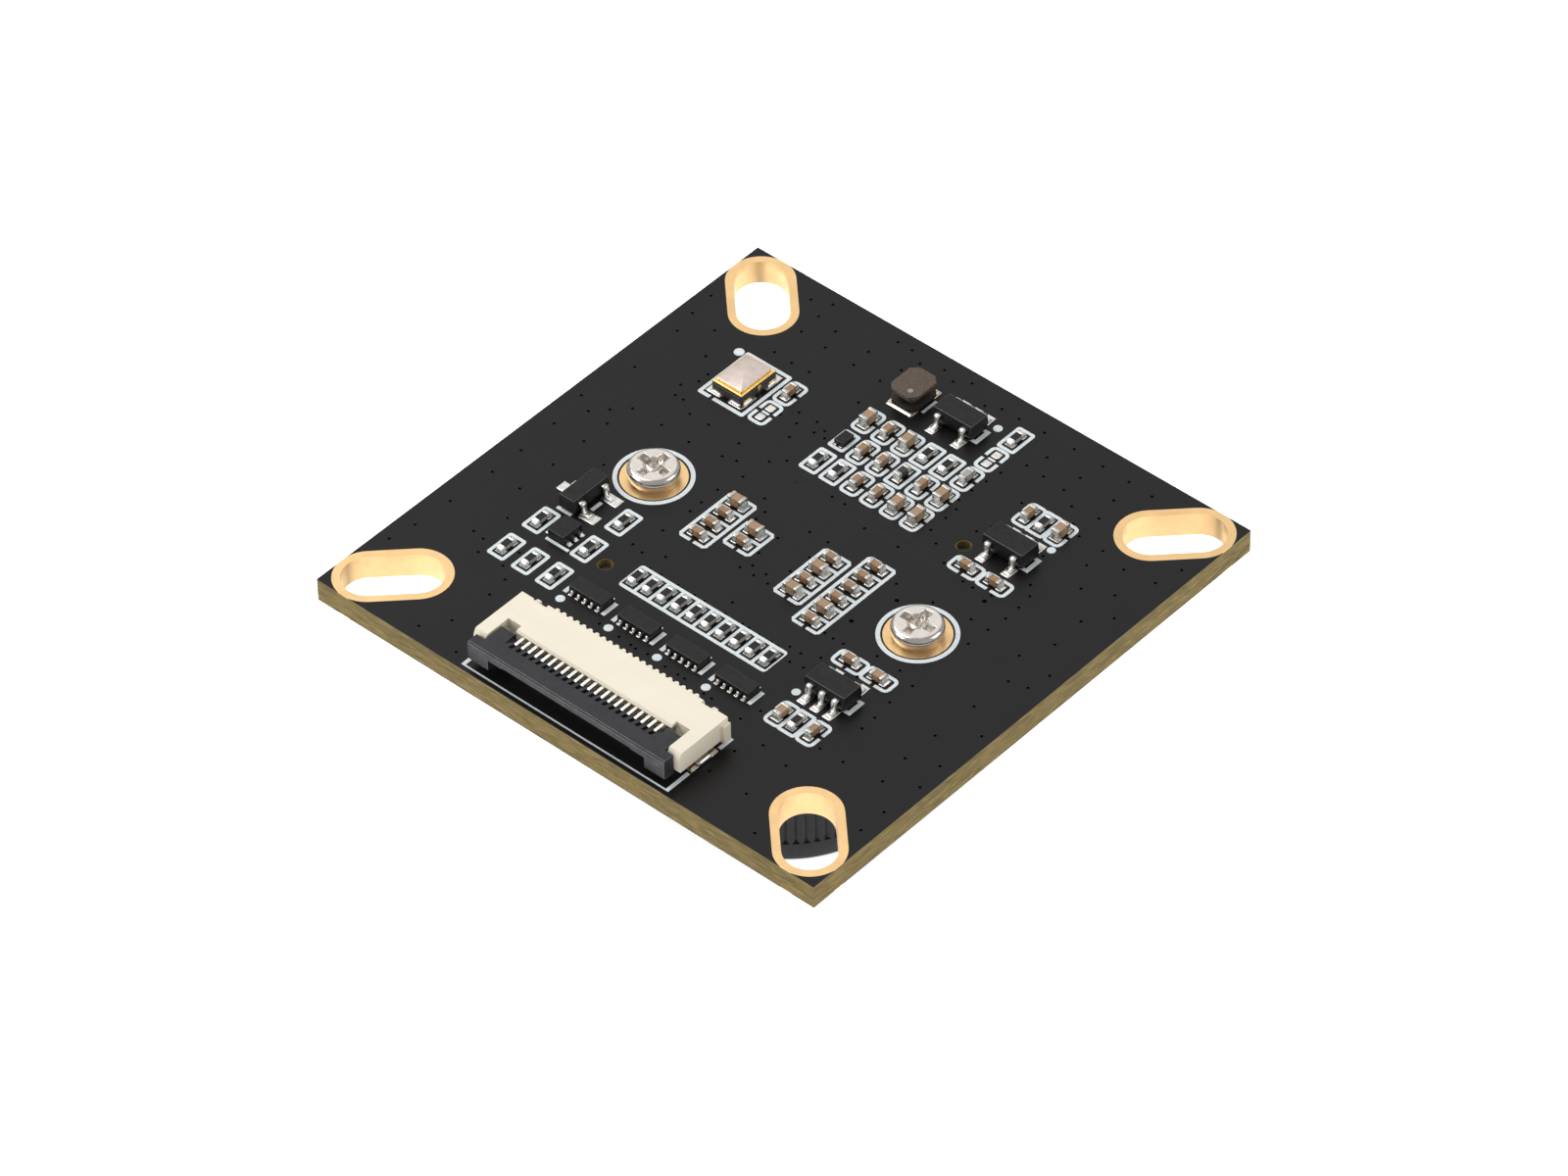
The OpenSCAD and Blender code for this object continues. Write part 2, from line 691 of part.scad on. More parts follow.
module inductor_core() color("#62524a") on_board() translate([inductor[0], inductor[1], land_t + 0.1]) {
    linear_extrude(flange_t) flange_shape();
    translate([0, 0, flange_t]) linear_extrude(drum_h)
        square([inductor_size[0] - 0.95, inductor_size[1] - 0.95], center = true);
    translate([0, 0, flange_t + drum_h]) linear_extrude(flange_t) flange_shape();
}

module inductor_winding() color("#3c322e") on_board()
    translate([inductor[0], inductor[1], land_t + 0.1 + flange_t])
        linear_extrude(drum_h) difference() {
            square([inductor_size[0] - 0.4, inductor_size[1] - 0.4], center = true);
            square([inductor_size[0] - 0.95, inductor_size[1] - 0.95], center = true);
        }

module inductor_terminals() color("#c99a6b") on_board() translate([inductor[0], inductor[1], land_t])
    for (s = [-1, 1]) translate([0, s * (inductor_size[1] / 2 - 0.25), 0.05])
        cube([inductor_size[0] - 0.2, 0.5, 0.1], center = true);

// ------------------------------------------------------------ leaded chips

// Moulded body with drafted sides, on its feet: width across the leads first
module moulded_body(width, length, height) {
    draft = 0.09;
    low = standoff;
    x = width / 2;
    along_x(length) polygon([
        [draft - x, low], [-x, height * 0.42], [-x, height * 0.62], [draft - x, height],
        [x - draft, height], [x, height * 0.62], [x, height * 0.42], [x - draft, low]
    ]);
}

// Gull-wing lead that leaves a body of this width and height and stands on its land
module gull_lead(width, height) {
    t = 0.14;
    x = width / 2;
    top = height * 0.59;
    foot = 0.6;
    along_x(lead_w) polygon([
        [x, top - t], [x + 0.12, top - t], [x + 0.17, top - t - 0.06], [x + 0.2, 0.12],
        [x + 0.27, 0], [x + foot, 0], [x + foot, t], [x + 0.36, t], [x + 0.32, t + 0.05],
        [x + 0.3, top - 0.1], [x + 0.2, top], [x, top]
    ]);
}

module lead_row(count, pitch, width, height) {
    for (i = [0:count - 1]) translate([(i - (count - 1) / 2) * pitch, 0, 0])
        gull_lead(width, height);
}

module regulator_body(c) translate([c[0], c[1], top_z + land_t])
    moulded_body(regulator_w, regulator_l, regulator_h);

module regulator_leads(c, front_pins) translate([c[0], c[1], top_z + land_t]) {
    back_pins = 5 - front_pins;
    rotate(180) lead_row(front_pins, front_pins == 2 ? 2 * lead_pitch : lead_pitch,
        regulator_w, regulator_h);
    lead_row(back_pins, back_pins == 2 ? 2 * lead_pitch : lead_pitch, regulator_w, regulator_h);
}

module rear_regulator_body() color("#2d2c2d") regulator_body(rear_regulator);
module rear_regulator_leads() color("#d6d4ce") regulator_leads(rear_regulator, 2);
module upper_regulator_body() color("#2d2c2d") regulator_body(upper_regulator);
module upper_regulator_leads() color("#d6d4ce") regulator_leads(upper_regulator, 2);
module lower_regulator_body() color("#2d2c2d") regulator_body(lower_regulator);
module lower_regulator_leads() color("#d6d4ce") regulator_leads(lower_regulator, 3);

transistor_w = 1.3;

module at_transistor() translate([transistor[0], transistor[1], top_z + land_t]) rotate(-90) children();

module transistor_body() color("#2d2c2d") at_transistor()
    moulded_body(transistor_w, regulator_l, regulator_h);

module transistor_leads() color("#d6d4ce") at_transistor() {
    lead_row(2, 2 * lead_pitch, transistor_w, regulator_h);
    rotate(180) lead_row(1, 0, transistor_w, regulator_h);
}

logic_size = [1.2, 1.6, 0.55];

module logic_chip_body() color("#2b2a2b")
    translate([logic_chip[0], logic_chip[1], top_z + land_t + 0.03 + logic_size[2] / 2])
        cube(logic_size, center = true);

module logic_chip_leads() color("#d6d4ce") translate([logic_chip[0], logic_chip[1], top_z + land_t])
    for (s = [-1, 1], i = [-1:1])
        translate([s * (logic_size[0] / 2 + 0.11), i * 0.5, 0.065])
            cube([0.22, 0.22, 0.13], center = true);

module switch_chip() color("#232224")
    translate([switch_at[0], switch_at[1], top_z + land_t + 0.16])
        cube([0.66, 1.0, 0.32], center = true);

module line_filter_bodies() color("#2b2a2b") for (c = filter_chips)
    translate([c[0], c[1], top_z + land_t + filter_chip[2] / 2]) difference() {
        cube(filter_chip, center = true);
        for (i = [-2:2], s = [-1, 1])
            translate([i * 0.5, s * (filter_chip[1] / 2 - 0.05), -filter_chip[2] / 2])
                cube([0.24, 0.12, 0.4], center = true);
    }

module line_filter_terminals() color("#dcdad2") for (c = filter_chips, i = [-2:2], s = [-1, 1])
    translate([c[0] + i * 0.5, c[1] + s * (filter_chip[1] / 2 - 0.05), top_z + land_t + 0.1])
        cube([0.24, 0.12, 0.2], center = true);

// Oscillator: ceramic base with notched corners, seal ring and lid
crystal_base_h = crystal_size[2] - 0.3;

module crystal_base() color("#3a3536") translate([crystal[0], crystal[1], top_z + land_t])
    linear_extrude(crystal_base_h) difference() {
        square([crystal_size[0], crystal_size[1]], center = true);
        for (x = [-1, 1], y = [-1, 1]) translate([x * crystal_size[0] / 2, y * crystal_size[1] / 2])
            circle(0.16, $fn = 24);
        both_sides() translate([crystal_size[0] / 2, 0]) circle(0.14, $fn = 24);
    }

module crystal_seal_ring() color("#e0bb5e")
    translate([crystal[0], crystal[1], top_z + land_t + crystal_base_h])
        linear_extrude(0.14) square([crystal_size[0] - 0.14, crystal_size[1] - 0.2], center = true);

module crystal_lid() color("#d2c4bc")
    translate([crystal[0], crystal[1], top_z + land_t + crystal_base_h + 0.14])
        linear_extrude(0.16) square([crystal_size[0] - 0.44, crystal_size[1] - 0.54], center = true);

// -------------------------------------------------------- cable connector

// Puts children at each contact
module at_contacts() {
    for (i = [0:contact_count - 1])
        translate([i * contact_pitch - contact_span / 2, 0, 0]) children();
}

module housing_middle() {
    // Roof, back wall and floor round the cable's pocket
    between_x(-notch_x, notch_x) polygon([
        [floor_front_y, standoff], [housing_rear_y, standoff], [housing_rear_y, housing_h - 0.2],
        [housing_rear_y - 0.08, housing_h], [housing_front_y + 0.12, housing_h],
        [housing_front_y, housing_h - 0.14], [housing_front_y, housing_h - roof_t],
        [wall_y, housing_h - roof_t], [wall_y, floor_t], [floor_front_y, floor_t]
    ]);
}

module housing_end_block() {
    // Block beside the pocket, with the notch in front of it for the latch's shoulder
    between_x(notch_x - 0.05, housing_x) polygon([
        [notch_y, side_lift], [block_y, side_lift], [block_y, housing_h - 0.12],
        [block_y - 0.12, housing_h], [notch_y, housing_h]
    ]);
    between_x(notch_x - 0.05, housing_x - 0.55) polygon([
        [notch_y, standoff], [block_y, standoff], [block_y, side_lift], [notch_y, side_lift]
    ]);
    between_x(notch_x - 0.05, arm_x + 0.05) polygon([
        [floor_front_y, standoff], [notch_y, standoff], [notch_y, floor_t], [floor_front_y, floor_t]
    ]);
    // Rib at the back corner
    between_x(notch_x + 0.65, notch_x + 0.95) polygon([
        [block_y, side_lift], [housing_rear_y + 0.06, side_lift],
        [housing_rear_y + 0.06, housing_h - 0.2], [block_y, housing_h - 0.12]
    ]);
}

// Arm whose tip is rounded about the pivot, so that the latch swings clear of it
module housing_arm() {
    tip_r = pivot_y - arm_tip_y;
    top = housing_h - pivot_z;
    start = 180 - asin(top / tip_r);
    between_x(arm_x, housing_x) polygon(concat(
        [[block_y, side_lift], [block_y, housing_h]],
        [[notch_y, housing_h]],
        arc(pivot_y, pivot_z, tip_r, start, 180, 6),
        [[arm_tip_y, side_lift + 0.1], [arm_tip_y + 0.1, side_lift]]
    ));
}

module fpc_housing() color("#f3e8d2") at_connector() difference() {
    union() {
        housing_middle();
        both_sides() housing_end_block();
        both_sides() housing_arm();
        // Round ribs along the back, one over each tail
        at_contacts() translate([0, housing_rear_y - 0.02, standoff + 0.4])
            cylinder(r = 0.15, h = housing_h - 0.45 - standoff, $fn = 16);
        // Small block that stands proud at the rear of each end
        both_sides() box([housing_x - 0.1, block_y - 0.55, side_lift - 0.2],
            [housing_x + 0.22, block_y - 0.02, housing_h - 0.3]);
    }
    // Pivot sockets in the arms
    both_sides() translate([arm_x - cut, pivot_y, pivot_z]) rotate([0, 90, 0])
        cylinder(r = pivot_r + latch_gap / 2, h = cut + 0.5);
    // Ways out for the tails
    at_contacts() translate([-contact_t / 2 - contact_gap, wall_y - 0.4, 0])
        cube([contact_t + 2 * contact_gap, 1.2, floor_t + 0.1]);
}

// One stamped contact: tail, post, upper arm over the latch's shaft, lower spring
module contact() {
    post_y = wall_y - 0.36;
    tip_y = pivot_y - 0.12;
    spring_tip_y = floor_front_y + 0.15;
    bump_y = pivot_y + 0.15;
    low = contact_top - contact_beam;
    foot = land_t;
    along_x(contact_t) polygon(concat(
        [[tail_end_y, foot], [tail_end_y, foot + contact_beam], [wall_y + 0.15, foot + contact_beam],
         [wall_y, foot + 0.3], [wall_y, contact_top - 0.1], [wall_y - 0.1, contact_top]],
        [[tip_y + 0.06, contact_top], [tip_y, contact_top - 0.06], [tip_y, low + 0.03],
         [tip_y + 0.03, low], [post_y, low]],
        [[post_y, floor_t + contact_beam], [bump_y + 0.5, floor_t + contact_beam],
         [bump_y + 0.1, floor_t + 0.3], [bump_y - 0.1, floor_t + 0.3],
         [spring_tip_y, floor_t + 0.12], [spring_tip_y, floor_t], [post_y, floor_t]],
        [[post_y, foot]]
    ));
}

module fpc_contacts() color("#e6e3da") at_connector() at_contacts() contact();

// Flip latch: a plate with a comb of teeth, two shoulders, two legs and its pivots
module latch_plate() {
    bevel = 0.1;
    arch_step = 0.08;
    // Front bar across the whole width, with the shallow arch under its middle
    between_x(-latch_x, latch_x) polygon([
        [0, pivot_z], [0, latch_top - bevel], [bevel, latch_top], [lip_d, latch_top], [lip_d, pivot_z]
    ]);
    // Teeth that slope down towards the contacts
    between_x(-comb_x, comb_x) polygon([
        [lip_d, pivot_z], [lip_d, latch_top], [comb_y, latch_top],
        [pivot_y + 0.45, pivot_z + 0.14], [pivot_y + 0.45, pivot_z - 0.12],
        [pivot_y - 0.3, pivot_z - 0.12], [pivot_y - 0.45, pivot_z]
    ]);
    both_sides() {
        // Shoulder between the comb and the arm
        between_x(comb_x, shoulder_x) polygon([
            [lip_d, pivot_z - 0.3], [lip_d, latch_top], [pivot_y + 0.4, latch_top],
            [pivot_y + 0.5, latch_top - 0.12], [pivot_y + 0.5, pivot_z - 0.2],
            [pivot_y + 0.35, pivot_z - 0.35], [lip_d + 0.1, pivot_z - 0.35]
        ]);
        // Leg beside the cable's way in
        between_x(leg_x, latch_x) polygon([
            [0, leg_bottom + 0.1], [0, pivot_z], [lip_d, pivot_z], [lip_d, leg_bottom],
            [0.1, leg_bottom]
        ]);
        between_x(comb_x - 0.9, leg_x) polygon([
            [0, pivot_z - arch_step], [0, pivot_z], [lip_d, pivot_z], [lip_d, pivot_z - arch_step]
        ]);
        // Pivot
        translate([shoulder_x - 0.1, pivot_y, pivot_z]) rotate([0, 90, 0])
            cylinder(r = pivot_r, h = latch_gap + 0.5);
    }
}

module fpc_latch() color("#3a3a3f") at_connector() {
    difference() {
        latch_plate();
        at_contacts() translate([-contact_t / 2 - contact_gap, comb_y, pivot_z - 1])
            cube([contact_t + 2 * contact_gap, 1.6, 2]);
    }
    // Shaft under the tips of the contacts
    translate([-comb_x, pivot_y, pivot_z]) rotate([0, 90, 0]) cylinder(r = shaft_r, h = 2 * comb_x);
}

// Bent tab that holds each end down: a wall under the arm, a foot on its land and a
// tongue that lies in the notch
module fpc_anchor_tabs() color("#d9b98a") at_connector() both_sides() {
    x = housing_x - 0.55;
    t = 0.14;
    box([x, tab_front_y, land_t], [x + t, tab_rear_y, side_lift]);
    box([x, tab_front_y, land_t], [x + 0.48, tab_rear_y, land_t + t]);
    box([notch_x + 0.1, tab_front_y + 0.2, floor_t], [x + t, notch_y, floor_t + 0.1]);
}

// ----------------------------------------------------------------- screws

module holder_screw() {
    crown = 0.32;
    low = screw_head_h - 0.04;
    rotate_extrude() polygon(concat(
        [[0, 0], [screw_head_r - 0.12, 0], [screw_head_r - 0.02, 0.4]],
        arc(screw_head_r - crown, low - crown, crown, 0, 78, 5),
        [[screw_head_r * 0.5, screw_head_h - 0.008], [0, screw_head_h]]
    ));
    translate([0, 0, -screw_length]) cylinder(r1 = screw_shank_r - 0.3, r2 = screw_shank_r, h = 0.5);
    translate([0, 0, 0.5 - screw_length]) cylinder(r = screw_shank_r, h = screw_length - 0.5);
}

module holder_screws() color("#cfc6bc") translate([0, 0, top_z]) at_screws() difference() {
    holder_screw();
    translate([0, 0, screw_head_h - 0.6]) for (a = [0, 90]) rotate(a)
        linear_extrude(1) square([recess_span, recess_w], center = true);
}

// ------------------------------------------------------------ lens holder

module base_shape(width, bevel) {
    x = width / 2;
    polygon([
        [x, x - bevel], [x - bevel, x], [bevel - x, x], [-x, x - bevel],
        [-x, bevel - x], [bevel - x, -x], [x - bevel, -x], [x, bevel - x]
    ]);
}

module lens_holder() color("#222224") difference() {
    union() {
        translate([0, 0, step_z]) linear_extrude(holder_base_h) base_shape(holder_w, 0.5);
        translate([0, 0, collar_z]) cylinder(r = collar_r, h = collar_h, $fn = 96);
        // Ears for the screws
        translate([0, 0, under_z - ear_h]) linear_extrude(ear_h) at_screws() {
            circle(ear_r);
            translate([-ear_r / 2 - 1, 0]) square([ear_r + 2, 2 * ear_r], center = true);
        }
        // Locating pegs, short of the board's far face
        translate([0, 0, under_z - 0.5]) at_pegs() cylinder(r = peg_r, h = board_t + 0.1, $fn = 32);
        // Ribs from the base to the collar
        for (a = [45:90:315]) rotate(a) translate([collar_r - 0.2, -0.5, step_z - 2.2])
            cube([1.4, 1, 2.3]);
    }
    // Room for the sensor
    translate([0, 0, web_z]) linear_extrude(holder_base_h)
        base_shape(holder_w - 2 * holder_wall, 0.4);
    // Screwed bore of the collar
    translate([0, 0, collar_z - cut]) cylinder(r = thread_r + thread_gap, h = collar_h + cut, $fn = 96);
    // Window and the seat of the filter
    cylinder(r = window_r, h = under_z, $fn = 64);
    translate([0, 0, web_z - filter_t - 0.05]) linear_extrude(holder_base_h)
        square(filter_w + 0.2, center = true);
    // Holes for the screws
    translate([0, 0, under_z - screw_length + board_t - 0.15]) at_screws()
        cylinder(r = screw_shank_r + 0.03, h = holder_base_h);
}

// ------------------------------------------------------------------- lens

module lens_barrel() color("#1d1d1f") rotate_extrude($fn = 96) polygon(concat(
    [[mouth_r, 0], [head_r - rim_chamfer, 0], [head_r, rim_chamfer]],
    [for (i = [0:grip_grooves - 1], k = [0:2]) [
        head_r - (k == 1 ? grip_groove : 0),
        head_h * 0.42 + (i * 3 + k) * grip_groove
    ]],
    [[head_r, head_h - rim_chamfer], [head_r - rim_chamfer, head_h], [thread_r, head_h],
     [thread_r, barrel_end_z - rim_chamfer], [thread_r - rim_chamfer, barrel_end_z],
     [lip_r, barrel_end_z], [lip_r, rear_glass_z], [glass_bore_r, rear_glass_z],
     [glass_bore_r, ring_back_z], [head_bore_r, ring_back_z], [head_bore_r, ring_front_z]]
));

// Threaded ring with two notches for a spanner
module lens_retaining_ring() color("#2a2a2c") difference() {
    rotate_extrude($fn = 96) polygon([
        [ring_bore_r, ring_back_z], [ring_r, ring_back_z], [ring_r, ring_front_z],
        [ring_bore_r + 0.35, ring_front_z], [ring_bore_r, ring_front_z + 0.35]
    ]);
    both_sides() translate([ring_r - 0.6, -0.4, ring_front_z - cut]) cube([1, 0.8, cut + 0.45]);
}

// Cap of a sphere that rises by sag from z = 0 over a disc of radius r
module dome(r, sag) intersection() {
    translate([0, 0, sag - dome_r(r, sag)]) sphere(dome_r(r, sag), $fn = 96);
    cylinder(r = r, h = sag, $fn = 96);
}

module front_lens() color("#8fa7b5") difference() {
    union() {
        translate([0, 0, ring_back_z]) cylinder(r = glass_r, h = front_glass_t, $fn = 96);
        translate([0, 0, ring_back_z]) mirror([0, 0, 1]) dome(ring_bore_r - glass_gap, front_dome);
    }
    translate([0, 0, front_glass_z]) mirror([0, 0, 1]) dome(glass_r - 1.2, front_glass_t / 2);
}

module spacer(z, length) translate([0, 0, z]) difference() {
    cylinder(r = glass_r, h = length, $fn = 96);
    translate([0, 0, -cut]) cylinder(r = glass_r - spacer_wall, h = length + 2 * cut, $fn = 96);
}

// Spacer with the aperture stop as a thin web at its middle
module front_spacer() color("#1b1b1d") {
    spacer(front_glass_z, front_spacer_t);
    translate([0, 0, front_glass_z + front_spacer_t / 2 - 0.1]) difference() {
        cylinder(r = glass_r - spacer_wall / 2, h = 0.2, $fn = 96);
        translate([0, 0, -cut]) cylinder(r = stop_r, h = 1, $fn = 48);
    }
}

module middle_lens() color("#8fa7b5") {
    translate([0, 0, front_spacer_z]) cylinder(r = glass_r, h = middle_glass_t, $fn = 96);
    translate([0, 0, front_spacer_z]) mirror([0, 0, 1]) dome(glass_r - spacer_wall - 0.05, inner_dome);
    translate([0, 0, middle_glass_z]) dome(glass_r - spacer_wall - 0.05, inner_dome);
}

module rear_spacer() color("#1b1b1d") spacer(middle_glass_z, rear_spacer_t);

module rear_lens() color("#8fa7b5") {
    translate([0, 0, rear_spacer_z]) cylinder(r = glass_r, h = rear_glass_t, $fn = 96);
    translate([0, 0, rear_glass_z]) dome(lip_r - 0.05, inner_dome);
}

// ------------------------------------------------------ filter and sensor

module infrared_filter() color("#9fc6c9") translate([0, 0, web_z - filter_t - 0.05])
    linear_extrude(filter_t) square(filter_w, center = true);

// Package soldered to the board, open towards the lens
module sensor_package() color("#2e2a26") translate([0, 0, under_z - sensor_t]) difference() {
    linear_extrude(sensor_t) square(sensor_w, center = true);
    translate([0, 0, -cut]) linear_extrude(cut + die_t + 0.25) square([die_l + 1.2, die_w + 2.4], center = true);
}

module sensor_die() color("#5b6478") translate([0, 0, under_z - sensor_t + 0.25])
    linear_extrude(die_t) square([die_l, die_w], center = true);

module sensor_cover_glass() color("#b8cdd4") translate([0, 0, under_z - sensor_t - cover_t])
    linear_extrude(cover_t) square(cover_w, center = true);

// ------------------------------------------------------------------ nodes

laminate();
component_side_mask();
lens_side_mask();
legend_print();
slot_linings();
screw_lands();
solder_lands();
solder_fillets();
resistor_bodies();
resistor_glazes();
resistor_end_caps();
small_capacitor_bodies();
small_capacitor_end_caps();
large_capacitor_bodies();
large_capacitor_end_caps();
grey_capacitor_body();
grey_capacitor_end_caps();
ferrite_bead_body();
ferrite_bead_end_caps();
inductor_core();
inductor_winding();
inductor_terminals();
rear_regulator_body();
rear_regulator_leads();
upper_regulator_body();
upper_regulator_leads();
lower_regulator_body();
lower_regulator_leads();
transistor_body();
transistor_leads();
logic_chip_body();
logic_chip_leads();
switch_chip();
line_filter_bodies();
line_filter_terminals();
crystal_base();
crystal_seal_ring();
crystal_lid();
fpc_housing();
fpc_contacts();
fpc_latch();
fpc_anchor_tabs();
holder_screws();
lens_holder();
lens_barrel();
lens_retaining_ring();
front_lens();
front_spacer();
middle_lens();
rear_spacer();
rear_lens();
infrared_filter();
sensor_package();
sensor_die();
sensor_cover_glass();
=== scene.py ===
"""Finishes a board camera: its circuit board, chips, cable connector, screws and lens."""

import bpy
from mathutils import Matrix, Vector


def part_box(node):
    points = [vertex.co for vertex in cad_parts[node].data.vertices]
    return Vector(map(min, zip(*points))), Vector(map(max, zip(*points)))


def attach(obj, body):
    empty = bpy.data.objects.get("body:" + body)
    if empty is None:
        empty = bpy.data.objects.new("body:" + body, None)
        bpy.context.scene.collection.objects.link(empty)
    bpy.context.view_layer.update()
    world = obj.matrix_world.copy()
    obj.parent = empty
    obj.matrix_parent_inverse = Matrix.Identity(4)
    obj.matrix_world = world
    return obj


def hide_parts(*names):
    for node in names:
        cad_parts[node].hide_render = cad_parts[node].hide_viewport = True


bl_info = {
    "name": "Board Camera Finish",
    "version": (1, 0, 0),
    "blender": (4, 5, 0),
    "location": "3D View > Sidebar > Camera",
    "description": "Dresses the board, solder, chips, connector, screws and lens of a board camera",
    "category": "Object",
}

import bmesh
import bpy
import numpy as np
from bpy.props import FloatProperty, FloatVectorProperty, PointerProperty
from mathutils import Matrix, Vector

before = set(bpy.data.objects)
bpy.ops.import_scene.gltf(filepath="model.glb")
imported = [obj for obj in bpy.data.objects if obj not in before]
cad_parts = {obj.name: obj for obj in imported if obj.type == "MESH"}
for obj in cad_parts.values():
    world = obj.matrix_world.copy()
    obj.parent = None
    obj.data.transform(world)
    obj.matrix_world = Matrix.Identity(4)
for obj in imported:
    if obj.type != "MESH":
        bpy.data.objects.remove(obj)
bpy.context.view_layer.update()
MM = 0.001
# Points of a CAD mesh that lie this close are one point, in metres
SAME = 1e-7
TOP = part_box("component_side_mask")[1].z


# ------------------------------------------------------------------ surfaces


def add_mesh(name, mesh, sharp, body):
    """Object of a mesh that is smooth except where faces meet at over sharp degrees. Without a
    body it's left free, for the stage."""
    mesh.shade_smooth()
    mesh.set_sharp_from_angle(angle=np.radians(sharp))
    piece = bpy.data.objects.new(name, mesh)
    bpy.context.scene.collection.objects.link(piece)
    if body:
        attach(piece, body)
    return piece


def add_piece(name, points, faces, sharp=35.0, body="module"):
    """Object made from arrays of points and faces."""
    mesh = bpy.data.meshes.new(name)
    mesh.from_pydata(np.asarray(points, float).reshape(-1, 3).tolist(), [], faces)
    mesh.validate()
    return add_mesh(name, mesh, sharp, body)


def skin(rings):
    """Faces over stacks of closed outlines, for rings of shape (copies, levels, points, 3).

    Point p of level l joins point p+1 and level l+1 as a quad, and the first and last outlines of
    each copy are closed by one face each. Outlines run anticlockwise seen from above while levels
    rise."""
    copies, levels, count, _ = rings.shape
    index = np.arange(copies * levels * count).reshape(copies, levels, count)
    ahead = np.roll(index, -1, axis=2)
    quads = np.stack([index[:, :-1], ahead[:, :-1], ahead[:, 1:], index[:, 1:]], axis=-1)
    return quads.reshape(-1, 4).tolist() + index[:, 0, ::-1].tolist() + index[:, -1].tolist()


def dress(name, rings, finish, node=None, sharp=35.0):
    """Piece skinned over outlines, with its finish. It may replace a CAD node."""
    rings = rings if rings.ndim == 4 else rings[None]
    piece = wear(add_piece(name, rings, skin(rings), sharp), finish)
    if node:
        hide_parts(node)
    return piece


def add_solder(name, rings, finish="solder", node=None):
    """Solder skinned over outlines."""
    dress(name, rings, finish, node, sharp=60)


def corners_round(steps):
    """Angles once round a rounded rectangle, with steps in each corner's quarter circle, and the
    signs in x and y of the corner that each angle belongs to."""
    turn = np.linspace(0, np.pi / 2, steps + 1)
    around = np.concatenate([turn + quarter * np.pi / 2 for quarter in range(4)])
    return around, np.repeat([1, -1, -1, 1], steps + 1), np.repeat([1, 1, -1, -1], steps + 1)


def rounded_blocks(low, high, radius, corner_steps=3, edge_steps=3):
    """Boxes with ball-shaped corners, as outlines.

    At the angle f above or below the equator of the edge's quarter circle, an outline is the box's
    rectangle shrunk by radius, plus a circle of radius * cos(f), at a height radius * sin(f) past
    the shrunk box. It stops short of a quarter turn, and the faces above and below close it."""
    low, high = np.atleast_2d(low), np.atleast_2d(high)
    half = (high - low) / 2
    radius = np.minimum(radius, half.min(axis=1) * 0.98)[:, None, None]
    around, side_x, side_y = corners_round(corner_steps)
    last = 1.4
    lift = np.concatenate([np.linspace(-last, 0, edge_steps), np.linspace(0, last, edge_steps)])
    side_z = np.repeat([-1, 1], edge_steps)
    lift_cos, lift_sin = radius * np.cos(lift)[:, None], radius * np.sin(lift)[:, None]
    x = side_x * (half[:, 0, None, None] - radius) + lift_cos * np.cos(around)
    y = side_y * (half[:, 1, None, None] - radius) + lift_cos * np.sin(around)
    z = side_z[:, None] * (half[:, 2, None, None] - radius) + lift_sin + 0 * around
    return np.stack([x, y, z], axis=-1) + ((low + high) / 2)[:, None, None, :]


def revolve(profile, steps):
    """Turns a profile of (radius, height) about the Z axis, one outline for each of its points."""
    profile = np.asarray(profile, float)
    turn = np.linspace(0, 2 * np.pi, steps, endpoint=False)
    radius, height = profile[:, 0, None], profile[:, 1, None]
    rings = [radius * np.cos(turn), radius * np.sin(turn), height + 0 * turn]
    return np.stack(rings, axis=-1)[None]


def unit(rows):
    """Rows scaled to length 1."""
    return rows / np.linalg.norm(rows, axis=1)[:, None]


def box_of(node):
    """Low and high corner of a CAD node, as arrays."""
    return (np.array(corner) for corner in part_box(node))


def solids_of(node):
    """Low and high corners of each separate solid of a CAD node, found by spreading the lowest
    point number over the triangles until it stops changing."""
    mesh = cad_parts[node].data
    points = np.zeros(len(mesh.vertices) * 3)
    mesh.vertices.foreach_get("co", points)
    points = points.reshape(-1, 3)
    mesh.calc_loop_triangles()
    corners = np.zeros(len(mesh.loop_triangles) * 3, int)
    mesh.loop_triangles.foreach_get("vertices", corners)
    grid = np.round(points / SAME).astype(np.int64)
    merged = np.unique(grid, axis=0, return_inverse=True)[1].ravel()
    triangles = merged[corners.reshape(-1, 3)]
    label = np.arange(merged.max() + 1)
    before = None
    while not np.array_equal(before, label):
        before = label.copy()
        lowest = label[triangles].min(axis=1)
        for side in range(3):
            np.minimum.at(label, triangles[:, side], lowest)
        label = label[label]
    owner = label[merged]
    names = np.unique(owner)
    low = np.array([points[owner == n].min(axis=0) for n in names])
    high = np.array([points[owner == n].max(axis=0) for n in names])
    return low, high


